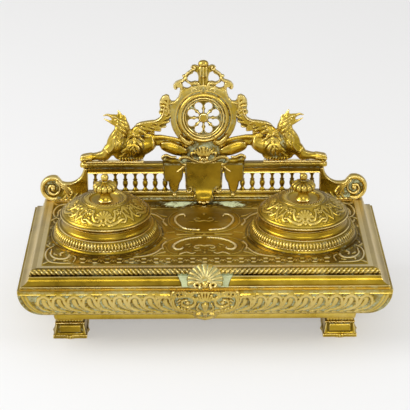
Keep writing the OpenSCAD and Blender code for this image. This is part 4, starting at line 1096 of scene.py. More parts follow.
def deck():
    """The chased deck, with open wells."""
    half_w, half_d = BASE_W / 2 - DECK_EDGE, BASE_D / 2 - DECK_EDGE

    def place(u, v):
        """The chasing on its sunk ground, chalk and a painted highlight on its lines, painted shade beside
        them and round the collars, a margin painted pale, and verdigris at the gallery's foot.
        """
        x, y = (2 * u - 1) * half_w, BASE_Y + (2 * v - 1) * half_d
        w = Relief(np.abs(x), y, spread=0.05)
        deck_ornament(w)
        edge = np.minimum(half_w - np.abs(x), half_d - np.abs(y - BASE_Y))
        away = np.hypot(np.abs(x) - WELL_X, y - WELL_Y)
        ring = 0.45 * hump(away, 50.3, 0.7)
        chased = (edge > MARGIN) & (away > PLAIN_R)
        height = np.maximum(w.height, ring) * rise(edge, 0.5, 2.0)
        # sunk ground round the motifs
        sunk = -0.42 * rise(edge, 3.2, 4.4) * rise(away, PLAIN_R, PLAIN_R + 1)
        plain = np.maximum(fall(np.hypot(np.abs(x) / 37, (y + 27) / 19), 0.98, 1.05),
                           fall(np.hypot(np.abs(x) / 35, (y - 19.5) / 21.5), 0.98, 1.05))
        sunk = sunk * (1 - 0.55 * plain)
        corner = rise(np.hypot(x / 118, (y - BASE_Y) / 60), 0.9, 1.15)
        field = 0.15 + 0.55 * w.shade + 0.35 * corner * (1 - plain)
        # chalk and a painted highlight on the strands' tops, painted shade beside them
        ground = chased * np.where(w.height > ON_STRAND, -1.12 * rise(w.height, 0.3, 0.8), field)
        # the plain margin is painted pale, a painted highlight
        margin = 0.8 * fall(edge, MARGIN - 1.2, MARGIN)
        # a ring of painted shade round the foot of each collar
        near = hump(away, 48.8, 1.0)
        # verdigris heaped at the foot of the gallery
        heap = rise(y - 5 * np.cos(x / 9), 46, 60) * hump(np.abs(x), 22, 34)
        ground = laid_over(laid_over(ground, near), 1.35 * heap)
        return np.column_stack((x, y, DECK_TOP + (sunk + height))), ground - margin

    shape = opened(sheet(round(2 * half_w / 0.63), round(2 * half_d / 0.63), place))
    inside = [p for p in shape.verts if math.hypot(abs(p.co.x) / MM - WELL_X, p.co.y / MM - WELL_Y) < HOLE_R]
    bmesh.ops.delete(shape, geom=inside, context="VERTS")
    rim = [e for e in shape.edges if e.is_boundary]
    walls = bmesh.ops.extrude_edge_only(shape, edges=rim)["geom"]
    lowered = [p for p in walls if isinstance(p, bmesh.types.BMVert)]
    for p in lowered:
        p.co.z = (DECK_TOP - DECK_T) * MM
    under = [e for e in shape.edges if e.is_boundary]
    bmesh.ops.triangle_fill(shape, edges=under, use_beauty=True, normal=(0, 0, -1))
    bmesh.ops.recalc_face_normals(shape, faces=shape.faces)
    piece("deck_chasing", new_mesh(shape), DECK_BRASS, stands_for=("deck_plate",))


def shell():
    """The scallop shell over the cornice, with its ribs, and two curls and a boss at its root."""
    radius, root, ribs, spread = 13.6, 5.6, 11, 114
    tilt = math.radians(50)
    centre = np.array((0, BASE_Y - BASE_D / 2 + 4.6, FRIEZE_TOP + 7.4))

    def stood(x, y, lift):
        """A point on the shell's own tilted plane, y up it and lift out of it."""
        up = y * math.sin(tilt) + lift * math.cos(tilt)
        back = y * math.cos(tilt) - lift * math.sin(tilt)
        return np.column_stack((x, centre[1] + back, centre[2] + up))

    def fan(u, v):
        """The ribbed fan, which closes to a narrow root behind the curls."""
        turn = 360 * u - 180
        open_ = fall(np.abs(turn), spread, spread + 9)
        share = np.clip((turn + spread) / (2 * spread), 0, 1) * ribs
        rib = np.sqrt(np.abs(np.sin(np.pi * share))) * open_
        reach = (root + (radius * (1 + 0.07 * rib) - root) * open_) * v
        around = np.radians(turn)
        dome = 1.4 + 3.2 * np.sin(np.pi * np.clip(v, 0, 1) ** 0.8) ** 0.8
        carved = 1.15 * (rib - 0.75) * rise(v, 0.12, 0.5) * open_
        lift = dome + carved - 5.2 * rise(v, 0.93, 1.0)
        bare = 0.25 + 0.75 * fall(rib, 0.3, 0.72) * rise(v, 0.15, 0.4) * open_
        return stood(reach * np.sin(around) * 1.06, reach * np.cos(around) - 2.4 * (1 - v), lift), bare

    def coil(side):
        """A curl beside the root, on the side given by its sign."""
        def place(u, v):
            turn, around = np.radians(330 * u - 60), v * 2 * np.pi
            thick = 1.3 * (1 - 0.45 * u) * np.sqrt(np.clip(1 - (2 * np.abs(u - 0.5)) ** 8, 0, 1))
            ring = 3.0 * (1 - 0.62 * u) + thick * np.cos(around)
            x, y = side * (7.0 - ring * np.cos(turn)), ring * np.sin(turn) - root
            return stood(x, y, 3.4 + thick * np.sin(around)), 0

        return sheet(34, 12, place)

    def bead(u, v):
        """The boss between the curls."""
        turn, out = 2 * np.pi * u, np.sin(np.pi * v)
        return stood(2.6 * out * np.sin(turn), 3.0 * out * np.cos(turn) - 4.4,
                     3.0 - 2.2 * np.cos(np.pi * v)), 0

    mesh = weld(sheet(264, 30, fan), coil(-1), coil(1), sheet(24, 10, bead))
    piece("shell", mesh, MOUNT_BRASS, stands_for=("shell_mount",))


# ---------- the wells, their collars and lids ----------

# the two sides of the inkstand, with their signs across
SIDES = (("left", -1), ("right", 1))
# the hinge behind each well: its distance from the well's middle, its height and its knuckles
HINGE_OUT = 42.6
HINGE_Z = 91.0
KNUCKLE_R = 2.8
LID_KNUCKLE = 10
COLLAR_KNUCKLE = 5
# the collar, its neck, and the ledge and bore that the ink pot hangs in
COLLAR_R = 47.5
NECK_R = 37
COLLAR_TOP = DECK_TOP + 17.5
LEDGE_R = 34.5
LEDGE_Z = 86.8
BORE_R = 31.3
EGGS = 96


def collar(side, x):
    """The moulded collar of a well, with a row of eggs, a hollow neck and two knuckles behind it."""
    bead_z = DECK_TOP + 4.2
    profile = [(BORE_R, DECK_TOP - 5), (BORE_R + 2.2, DECK_TOP - 5), (BORE_R + 2.2, DECK_TOP),
               (COLLAR_R, DECK_TOP), *arc(COLLAR_R - 0.4, bead_z, 2.7, -80, -180, 8),
               (45.0, bead_z + 0.1), *arc(COLLAR_R - 8.9, bead_z + 0.2, 6.5, 0, 74, 14),
               (40.6, bead_z + 6.5), (40.4, bead_z + 7.1), (39.8, bead_z + 7.3),
               *arc(NECK_R + 2.9, bead_z + 10.1, 3.0, -112, -188, 10),
               (NECK_R - 0.3, COLLAR_TOP - 1.2), (NECK_R, COLLAR_TOP - 0.7), (NECK_R, COLLAR_TOP),
               (LEDGE_R, COLLAR_TOP), (LEDGE_R, LEDGE_Z), (BORE_R, LEDGE_Z), (BORE_R, DECK_TOP - 5)]

    def relief(turn, along, radius, height):
        """The eggs with darts between them, and dirt and painted shade round them and in the line at the
        collar's foot.
        """
        up = height - bead_z
        on_row = rise(up, 0.3, 1.0) * fall(up, 5.5, 6.3) * (radius > 40.2)
        cell = np.abs(((turn * EGGS / (2 * np.pi)) % 1) - 0.5) * 2
        egg = np.sqrt(np.clip(1 - (cell / 0.74) ** 2 - ((up - 3.3) / 3.0) ** 4, 0, 1))
        dart = hump(cell, 1, 0.12) * 0.3
        lift = on_row * (0.7 * np.maximum(egg, dart) - 0.5)
        # painted shade in the line where the collar meets the deck
        foot_line = hump(radius, 46.3, 0.5) * (height < DECK_TOP + 2.5) * (height > DECK_TOP)
        ground = np.maximum(0.65 * on_row * (1 - np.maximum(egg, dart)), foot_line)
        return np.where((radius > 38) & (height > DECK_TOP), lift, 0), ground

    def step(a, b):
        """Fine on the outside over the deck, and coarse elsewhere."""
        return 0.62 if min(a[0], b[0]) > LEDGE_R + 1 and max(a[1], b[1]) > DECK_TOP + 0.1 else 9

    parts = [turned(profile, (x, WELL_Y, 0), 624, step, relief)]
    back = WELL_Y + HINGE_OUT
    for sign in (-1, 1):
        near = x + sign * (LID_KNUCKLE / 2 + 0.3)
        far = near + sign * COLLAR_KNUCKLE
        parts.append(rod((near, back, HINGE_Z), (far, back, HINGE_Z), KNUCKLE_R))
        low_x, high_x = sorted((near, far))
        parts.append(block((low_x, WELL_Y + NECK_R - 2.2, DECK_TOP + 9),
                           (high_x, back + 0.8, HINGE_Z - 1.2), 0.4))
    piece("collar_moulding_" + side, weld(*parts), COLLAR_BRASS, stands_for=("well_collar_" + side,))


def lid_motif(x, y):
    """A quarter of the lid's chasing: strapwork scrolls with a palmette, and leafy sprays beside them.

    x runs round the lid from the quarter's middle, folded, and y is the distance out along that middle.
    """
    w = Relief(x, y)

    def polar(*points):
        """A curve through points given as (angle, radius) on the lid."""
        return curve(*[(r * math.sin(math.radians(a)), r * math.cos(math.radians(a))) for a, r in points])

    w.lay(curve((17.2, 27.2), (14.4, 28.6), (11, 32), (6.5, 34.5), (2.9, 34.2), (1.5, 32.2), (2.6, 30.6),
                (4.2, 31.2)), (0.5, 1.0, 1.05, 0.9, 0.7), 0.95)
    w.lay(curve((8.6, 21.6), (9.4, 26.6), (7.8, 30.8), (5.4, 32.2), (4.0, 31.4)), (0.7, 0.95, 0.8), 0.85)
    w.lay(curve((8.8, 21.8), (11.4, 21.4), (12.2, 23.4), (10.8, 24.4)), (0.6, 0.8, 0.5), 0.7)
    w.lay([(0, 34.6)], 1.1, 0.9)
    w.lay([(0, 32.8)], 0.7, 0.7)
    for angle in (0, 24, 48, 70):
        a = math.radians(angle)
        w.lay([(1.6 * math.sin(a), 31 - 1.6 * math.cos(a)), (6.6 * math.sin(a), 31 - 7.4 * math.cos(a))],
              (0.45, 1.15), 0.8, vein=0.25)
    w.lay(polar((25.5, 34), (31, 34.3), (36, 32), (37, 28), (33.5, 25.4), (30.4, 27.2)),
          (0.5, 0.8, 0.9, 0.6), 0.8)
    w.lay(polar((37, 29), (41, 31), (45, 34.8)), (0.7, 1.3, 0.4), 0.8, vein=0.3)
    w.lay(polar((45, 24), (45, 29.5)), (1.5, 0.5), 0.8, vein=0.3)
    w.lay(polar((38, 24.5), (42.5, 22.4), (45, 21.6)), (1.1, 0.6), 0.7, vein=0.25)
    w.lay(polar((27, 23.8), (31, 22.6), (34, 23.4)), (0.9, 0.4), 0.65, vein=0.2)
    w.lay(polar((23, 31), (26.5, 29.6), (28.6, 31.8)), (0.8, 0.4), 0.6)
    w.lay(polar((19, 24.6), (23, 25.6), (24.6, 28.2)), (0.8, 0.4), 0.6)
    return w


# the dome is part of a ball whose middle is at DOME_Z
DOME_R = 53.67
DOME_Z = 56.4
LID_R = 39.3
LID_BOTTOM = 90.5
# the moulded ring on the dome, and the floor of the dish inside it
RING_R = 19.8
DISH_Z = 105.2
LINES = (19.2, 20.4, 37.9)


def lid(side, x):
    """The domed lid with chased scrolls, a lip drawn in below, and a moulded ring round its dish."""
    ring = RING_R

    def dome(radius, low, high, steps=24):
        """Points of a ball's profile between two distances from the lid's axis."""
        return [(r, DOME_Z + math.sqrt(radius ** 2 - r * r)) for r in np.linspace(low, high, steps + 1)]

    lip = shifted(LID_R, LID_BOTTOM, (-2.7, 0), (-1.9, 0.4), (-1.4, 1.0), (-1.2, 1.6), (-0.5, 2.0),
                  (-0.1, 2.5), (0, 3.0), (-0.2, 3.4))
    moulded = shifted(ring, 0, (0, 105.9), (-0.5, 106.5), (-1.1, 106.5), (-1.6, 106.8), (-2.4, 107.2),
                      (-3.4, 107.4), (-4.8, 107.2), (-5.8, 106.7), (-6.3, 106.1), (-7.2, 105.5))
    profile = [(LEDGE_R - 0.5, LID_BOTTOM), *lip, *dome(DOME_R, 38.4, ring + 0.5), *moulded,
               (ring - 8.6, DISH_Z), (4, DISH_Z), (4, DISH_Z - 3), (ring - 2, DISH_Z - 3),
               *dome(DOME_R - 2.6, ring + 1, LEDGE_R - 2.5, 8), (LEDGE_R - 0.5, LID_BOTTOM + 2.2),
               (LEDGE_R - 0.5, LID_BOTTOM)]

    def relief(turn, along, radius, height):
        """The scrolls on a pitted ground, four times round, the leaves on the ring, dirt and painted shade in
        the lines, and a dish painted pale.
        """
        top = height > DOME_Z + np.sqrt(np.maximum(DOME_R ** 2 - radius ** 2, 0)) - 0.7
        quarter = (turn + np.pi / 4) % (np.pi / 2) - np.pi / 4
        motif = lid_motif(np.abs(radius * np.sin(quarter)), radius * np.cos(quarter))
        field = rise(radius, 20.6, 21.3) * fall(radius, 36.2, 36.9) * top
        pits = np.clip(np.sin(quarter * 61) * np.sin(radius * 2.9) - 0.55, 0, 1) * 1.3
        lift = field * (0.55 * motif.height - 0.22 - 0.6 * pits * (motif.height < 0.15))
        leaves = np.abs(np.sin(turn * 20 + radius * 1.1))
        on_ring = rise(radius, 13.8, 14.6) * fall(radius, 17.4, 18.2) * (height > 106.2)
        lift = lift + on_ring * 0.6 * (leaves - 0.65)
        lift = lift - 0.3 * hump(radius, LINES[-1], 0.3) * top
        chased = motif.marked(0.15 + 0.85 * motif.shade + pits)
        ground = np.maximum(field * chased, on_ring * (1 - leaves) * 0.7)
        ground = np.where(field * motif.height > ON_STRAND, motif.outline(), ground)
        # dirt and painted shade in the incised lines
        for line_r in LINES:
            ground = laid_over(ground, 0.9 * hump(radius, line_r, 0.4) * (height > LID_BOTTOM + 3))
        # the dish inside the ring is painted pale, a painted highlight
        dish = (radius < 13) & (height > 103.5)
        return lift, np.where(dish, -0.25, ground)

    def step(a, b):
        """Fine on the dome and the ring, and coarse inside."""
        return 0.55 if min(a[0], b[0]) > 9 and a[1] <= b[1] + 2 and a[1] > LID_BOTTOM + 2 else 4

    mesh = turned(profile, (x, WELL_Y, 0), 400, step, relief)
    back = WELL_Y + HINGE_OUT
    half = LID_KNUCKLE / 2
    knuckle = rod((x - half, back, HINGE_Z), (x + half, back, HINGE_Z), KNUCKLE_R)
    arm = block((x - half, WELL_Y + LEDGE_R + 2, LID_BOTTOM), (x + half, back, LID_BOTTOM + 3.2))
    piece("lid_dome_" + side, weld(mesh, knuckle, arm), LID_BRASS, side + "_lid",
          stands_for=("lid_" + side,))


def finial(side, x):
    """The finial: a flared stem, a flat lobed melon and a ball on top."""
    seat, lobes = 104.8, 12
    stem = shifted(0, seat, (0, 0), (6.4, 0), (6.7, 0.6), (6.2, 1.3), (5.4, 2.2), (4.8, 3.6), (4.5, 5.2),
                   (4.5, 6.8), (4.8, 8.0), (5.6, 8.6))
    neck = shifted(0, seat, (6.2, 15.9), (4.4, 16.5), (3.3, 16.9), (2.6, 17.4), (2.4, 17.9))
    profile = [*stem, *arc(6.6, seat + 12.2, 3.6, -72, 62, 14), *neck,
               *arc(0, seat + 20.9, 3.4, -58, 90, 12)]

    def relief(turn, along, radius, height):
        """The melon's lobes, with dirt and painted shade between them, and painted shade under the ball."""
        up = height - seat
        lobe = np.abs(np.cos(turn * lobes / 2))
        melon = rise(up, 8.4, 9.4) * fall(up, 15.6, 16.8)
        lift = melon * (1.1 * lobe ** 0.6 - 0.8)
        grooves = melon * fall(lobe, 0.1, 0.45)
        # dirt and painted shade in the grooves, and painted shade on the neck under the ball
        return lift * (radius > 1), np.maximum(grooves, 0.5 * (up > 16.6) * (up < 18))

    mesh = turned(profile, (x, WELL_Y, 0), 180, 0.5, relief)
    piece("finial_" + side, mesh, LID_BRASS, side + "_lid", stands_for=("lid_finial_" + side,))


# ---------- the gallery; across, depth and up are measured in its leaning plane ----------

LEAN = math.radians(6)
GALLERY_Y = size_of("gallery_bottom_rail")[0][1]
GALLERY = Matrix.Translation((0, GALLERY_Y * MM, DECK_TOP * MM)) @ Matrix.Rotation(-LEAN, 4, "X")
MIRRORED = Matrix.Diagonal((-1, 1, 1, 1))
# the rails: their depth and heights, the cap's half length, and where the volutes begin
RAIL_D = 7.4
RAIL_MID = RAIL_D / 2
BOTTOM_RAIL = 8.4
FASCIA = 25.4
CAP = 30.9
RAIL_TOP = 35.3
CAP_HALF = 111.6
SCROLL_X = 104.6
VOLUTE = (136.3, 11.4)
# the medallion's middle and plate, and the tracery's openings
ROSETTE_UP = 77
PLATE_R = 29.3
PLATE_FRONT = 1.7
PLATE_T = 4
PETALS = 8
EYE_OUT, EYE_R = 11.5, 3.3
STRAND_ROWS = 14
BALL_COLUMNS = 20


def strand(path, width, middle, thick):
    """A rounded bar along a path (across, up), with closed ends and half widths from end to end."""
    path = np.asarray(path, float)
    run = np.gradient(path, axis=0)
    run /= np.hypot(*run.T)[:, None] + 1e-9
    spread = np.linspace(0, 1, len(path))
    half = np.interp(spread, np.linspace(0, 1, np.size(width)), np.atleast_1d(width))
    along = np.concatenate(((0,), np.cumsum(np.hypot(*np.diff(path, axis=0).T))))
    to_end = np.minimum(along, along[-1] - along)
    cap = np.sqrt(1 - (1 - np.clip(to_end / np.maximum(half, 0.2), 0, 1)) ** 2)

    def place(u, v):
        row = np.rint(u * (len(path) - 1)).astype(int)
        turn = v * 2 * np.pi
        side = half[row] * cap[row] * np.cos(turn)
        x = path[row, 0] - run[row, 1] * side
        up = path[row, 1] + run[row, 0] * side
        thin = np.minimum(1, half[row] / half.max() + 0.25) * cap[row]
        return np.column_stack((x, middle + thick * thin * np.sin(turn), up)), 0

    return sheet(len(path) - 1, STRAND_ROWS, place)


def ball(across, depth, up, radii):
    """A bead with its half sizes across, in depth and up."""
    def place(u, v):
        turn, tilt = u * 2 * np.pi, (v - 0.5) * np.pi
        return np.column_stack((across + radii[0] * np.cos(tilt) * np.cos(turn),
                                depth + radii[1] * np.cos(tilt) * np.sin(turn),
                                up + radii[2] * np.sin(tilt))), 0

    return sheet(BALL_COLUMNS, BALL_COLUMNS // 2, place)


def both_sides(*meshes):
    """The meshes and their mirror images."""
    out = []
    for mesh in meshes:
        out += [mesh, placed(mesh.copy(), MIRRORED)]
    return out


def in_gallery(mesh, sign=1):
    """The mesh moved from the gallery's own plane into place, mirrored first where the sign is -1."""
    return placed(placed(mesh, MIRRORED) if sign < 0 else mesh, GALLERY)


def bottom_rail():
    """The moulded rail at the foot of the balusters."""
    profile = [(RAIL_D, 0), (0, -0.6), (-0.1, 1.2), (0.5, 1.8), (0.3, 3.2), (0.9, 3.9), (0.9, 5.6),
               (0.2, 6.2), (0.1, 7.2), (0.6, 7.7), (0.9, BOTTOM_RAIL), (RAIL_D - 0.6, BOTTOM_RAIL),
               (RAIL_D, 6.4), (RAIL_D, 0)]

    def relief(across, along, depth, up):
        """Verdigris along the rail's foot, and no relief."""
        return 0, 0.8 * hump(up, 1.6, 1.3) * (depth < 2)

    mesh = moulding(profile, -SCROLL_X, SCROLL_X, (2.0, 0.6), relief)
    piece("bottom_rail", in_gallery(mesh), SHIELD_BRASS, stands_for=("gallery_bottom_rail",))


def top_rail():
    """The fascia over the balusters, and the cap that stands over it and is round at both ends."""
    over = 1.0
    nose = (RAIL_D + 2 * over) / 2
    face = [(0, FASCIA), (-0.05, FASCIA + 0.6), (0.35, FASCIA + 1.0), (0.3, FASCIA + 2.6),
            (-0.3, FASCIA + 3.4), (-0.5, FASCIA + 4.6), (0.2, CAP - 0.3)]
    cap_face = [(0.2, CAP), (-0.8, CAP + 0.3), (-over, CAP + 0.9), (-over, CAP + 2.5), (-0.8, CAP + 3.6),
                (-0.1, RAIL_TOP - 0.1), (0.4, RAIL_TOP)]

    def bar(front, low, half, steps):
        """A bar with the front's moulding and its mirror image behind."""
        back = [(RAIL_D - d, up) for d, up in reversed(front)]
        return moulding([(RAIL_D, low), *front, *back], -half, half, steps)

    straight = CAP_HALF - nose
    rounds = [(RAIL_MID - d, up) for d, up in cap_face]
    parts = [bar(face + cap_face, FASCIA, SCROLL_X, (1.6, 0.7)), bar(cap_face, CAP, straight, (4, 0.7))]
    for sign in (-1, 1):
        parts.append(turned([(0, CAP), *rounds, (0, RAIL_TOP)], (sign * straight, RAIL_MID, 0), 48, 0.7))
    piece("top_rail", in_gallery(weld(*parts)), GALLERY_BRASS, stands_for=("gallery_top_rail",))


def scroll(side, sign):
    """A volute coiled round a button, with leaves below it, and its hollow arm that rises to the rail."""
    (cx, cy), radius = VOLUTE, 12
    arm_x, arm_up, arm_r = CAP_HALF + 11.5, RAIL_TOP - 4, 14.6
    outline = loop_of((SCROLL_X, -0.6), (cx - 4, -0.6), arc(cx, cy, radius, -90, 110, 40),
                      arc(arm_x, arm_up, arm_r, -72, -180, 24), (SCROLL_X + 3.9, CAP), (SCROLL_X, CAP))

    def relief(x, y):
        """The rim, the coil, the button and the leaves, with verdigris in the coil and at the foot."""
        w = Relief(x, y)
        w.lay(whorl(cx, cy, -100, 118, 9.9, 9.9, 30), 2.1, 1.5)
        w.lay(curve((cx - 4.6, cy + 8.8), (cx - 9, cy + 5.4), (cx - 15, cy + 5.6), (cx - 21, cy + 9.6),
                    (cx - 26.4, cy + 17)), (2.1, 2.6, 3.2, 3.4, 3.0), 1.2)
        w.lay(whorl(cx, cy, 118, 480, 7.0, 2.6, 44), (1.0, 1.35, 1.1), 1.7)
        w.lay([(cx, cy)], 2.3, 2.4)
        for k in range(3):
            w.lay(curve((cx - 6.6, cy + 5.0 - 1.6 * k), (cx - 10.4, cy + 3.4 - 2.0 * k),
                        (cx - 14.4 + 0.7 * k, cy - 0.4 - 2.2 * k), (cx - 17.4 + 2.0 * k, cy - 4.2 - 1.9 * k)),
                  (0.6, 1.3, 0.5), 1.3, vein=0.2)
        for k in range(5):
            start = SCROLL_X + 4.4 * k
            w.lay(curve((start + 1.4, 6.4), (start + 3.4, 3.2), (start + 5.6, 1.6)), (0.5, 1.3, 0.5), 0.9,
                  vein=0.2)
        w.lay([(SCROLL_X, 0.6), (cx + 2, 0.6)], 1.0, 0.7)
        away = np.hypot(x - cx, y - cy)
        groove = fall(w.height, 0.05, 0.6) * (away < 9.5)
        low = fall(y, 3, 8) * fall(w.height, 0, 0.5)
        plain = rise(y, 14, 20) * 0.6
        mark = np.maximum(1.05 * groove, 1.2 * low)
        return np.maximum(w.height, plain) - 0.7 * groove, w.marked(mark)

    mesh = plate(outline, 0.2, RAIL_D, relief, edge=1.4, step=0.55)
    leaf = loop_of((cx - 6, 0.5), (cx - 1, -1.2), (cx + 3, 0.6), (cx + 5, 2), (cx - 8, 2.4))
    vein = lambda x, y: (0.5 * hump(x, cx - 1, 0.6), 0.3)
    mesh = weld(mesh, plate(leaf, -1.6, 0.8, vein, edge=0.8, step=0.5))
    piece("volute_" + side, in_gallery(mesh, sign), GALLERY_BRASS, stands_for=("gallery_scroll_" + side,))


def medallion():
    """The plate behind the rosette, with leafy shoulders and a foot between the hind legs."""
    up = ROSETTE_UP
    shoulder = shifted(0, up, (31.8, 1), (36, 1.4), (39.4, 2.6), (40.2, 4.8), (38.8, 7.6), (39.4, 11.4),
                       (38.8, 16.2), (36.6, 19.8), (33.2, 21.4), (30.6, 20.4), (29.8, 17.0), (28.4, 15.2),
                       (25.4, 15.4), (22.6, 18.6), (21.2, 22.6), (20.8, 26.2), (17.4, 27.8))
    half = loop_of((0, RAIL_TOP), (17, RAIL_TOP), (17, RAIL_TOP + 1.2),
                   arc(23, RAIL_TOP + 9, 8, 228, 132, 12), arc(0, up, PLATE_R + 0.6, -53, 1, 16), shoulder,
                   arc(0, up, PLATE_R + 1.2, 62, 90, 10))

    def relief(x, y):
        """The rim round the ring, the shoulders, the leaf brackets below, and the palmette on the foot."""
        w = Relief(np.abs(x), y - up)
        w.lay(whorl(0, 0, -50, 90, 24.6, 24.6, 26), 0.8, 0.9)
        w.lay(curve((23.4, 15.6), (21.6, 19), (19.8, 24.6)), (0.8, 1.4, 1.1), 1.1)
        w.lay(curve((25, 14.2), (28.4, 13.2), (30.6, 12.2)), (0.8, 1.0, 0.6), 0.9)
        # the curled shoulder with its leaf
        w.lay(curve((30.4, 4), (31.8, 10), (31.4, 16.4), (32.6, 19.2), (35.4, 18), (36.8, 14)),
              (0.8, 1.3, 1.7, 1.4), 1.6, vein=0.4)
        for k in range(4):
            w.lay(curve((32.4, 1.8 + 3.4 * k), (35.4, 3.6 + 3.6 * k), (38.6, 3.2 + 3.7 * k)),
                  (0.9, 1.6, 0.7), 1.6, vein=0.4)
        w.lay([(33.8, 17.6)], 2.4, 1.5)
        # leaf brackets under the ring
        w.lay(curve((10.6, -21.6), (13.8, -23.2), (18.2, -20.4), (20.8, -15.6)), (1.6, 3.0, 2.6, 0.9), 3.8,
              vein=0.7)
        w.lay(curve((13.0, -25.6), (16.8, -26.4), (19.6, -24.4)), (1.0, 1.7, 0.9), 2.4, vein=0.4)
        w.lay(curve((10.2, -19.2), (9.4, -22.6), (11.2, -25.6)), (0.9, 1.5, 0.8), 2.4, vein=0.4)
        # palmette on the foot
        for k in range(4):
            w.lay(curve((0.3 + 0.5 * k, -40.6), (0.5 + 1.5 * k, -34.6), (0.8 + 2.6 * k, -27.4 - 0.9 * k)),
                  (0.5, 1.0, 0.8), 1.3, vein=0.3)
        w.lay([(0, -41)], 2.0, 1.6)
        w.lay(curve((5.6, -39.8), (9.6, -38.4), (11, -34.4), (9.2, -32.4), (7.6, -34)), (0.7, 1.2, 0.8), 1.4)
        away = np.hypot(x, y - up)
        rim = 0.9 * np.sqrt(np.clip(1 - ((away - 27.6) / 3.2) ** 2, 0, 1)) * (y > up - 24)
        low = rise(up - 21 - y, 0, 3) * fall(w.height, 0.05, 0.5)
        beside = hump(away, 23.4, 0.8)
        mark = 0.2 + np.maximum(0.75 * beside, 0.55 * low) + 0.35 * w.shade
        return np.maximum(w.height, rim), w.marked(mark)

    holes = (arc(0, up, 17.4, 0, 354, 59),)
    mesh = plate(mirrored_loop(half), PLATE_FRONT, PLATE_FRONT + PLATE_T, relief, edge=1.1, step=0.6,
                 holes=holes)
    piece("medallion_casting", in_gallery(mesh), MEDALLION_BRASS, stands_for=("medallion_plate",))


def rosette():
    """The moulded ring with eight keyhole openings round a hub."""
    inner, outer = 15.4, 22.9
    ring = [(inner, 0), (outer, 0), (outer, 1.5), (22.6, 2.4), (21.9, 3.0), (21.0, 3.3), (20.2, 3.2),
            (19.7, 2.8), (19.4, 2.2), (19.0, 2.1), (18.5, 2.5), (17.9, 2.6), (17.4, 2.2), (17.0, 1.6),
            (16.6, 1.6), (16.1, 2.0), (15.7, 1.8), (inner, 1.0), (inner, 0)]
    facing = Matrix.Translation((0, PLATE_FRONT * MM, ROSETTE_UP * MM)) @ Matrix.Rotation(math.pi / 2, 4, "X")
    moulded = placed(turned(ring, (0, 0, 0), 200, 0.45), facing)
    keyhole = loop_of((4.8, 0.8), (6.6, 1.6), (8.6, 1.4), arc(EYE_OUT, 0, EYE_R, 126, -126, 22), (8.6, -1.4),
                      (6.6, -1.6), (4.8, -0.8))
    pitch = 360 / PETALS
    petals = []
    for k in range(PETALS):
        a = math.radians(pitch * (k + 0.5))
        turn = np.array(((math.cos(a), math.sin(a)), (-math.sin(a), math.cos(a))))
        petals.append(keyhole @ turn + (0, ROSETTE_UP))

    def relief(x, y):
        """A rib round each eye, and a spoke with two leaves between each two eyes."""
        w = Relief(x, y - ROSETTE_UP)
        for k in range(PETALS):
            a = math.radians(pitch * (k + 0.5))
            out = np.array((math.cos(a), math.sin(a)))
            w.lay(whorl(*(out * EYE_OUT), math.degrees(a) - 128, math.degrees(a) + 128, 3.7, 3.7, 20), 0.4,
                  0.9)
            b = math.radians(pitch * k)
            spoke = np.array((math.cos(b), math.sin(b)))
            across = np.array((-spoke[1], spoke[0]))
            w.lay([spoke * 5, spoke * 9.4], (0.5, 0.7), 0.8)
            for sign in (-1, 1):
                w.lay(curve(spoke * 9.4 + across * sign * 1.3, spoke * 10.8 + across * sign * 0.6,
                            spoke * 12.6 + across * sign * 1.2), (0.75, 0.6, 0.4), 1.2)
        return w.height, fall(w.height, 0.05, 0.4)

    tracery = plate(arc(0, ROSETTE_UP, 16.4, 0, 356, 89), PLATE_FRONT - 1.2, PLATE_FRONT + 0.6, relief,
                    edge=0.6, step=0.36, holes=petals)
    hub = placed(turned([(0, 0), (4.1, 0), (4.2, 1.6), (3.8, 2.3), (3.1, 2.5), (2.9, 2.2), (0, 2.3)],
                        (0, 0, 0), 48, 0.5), facing)
    piece("rosette", in_gallery(weld(moulded, tracery, hub)), GALLERY_BRASS,
          stands_for=("medallion_rosette",))


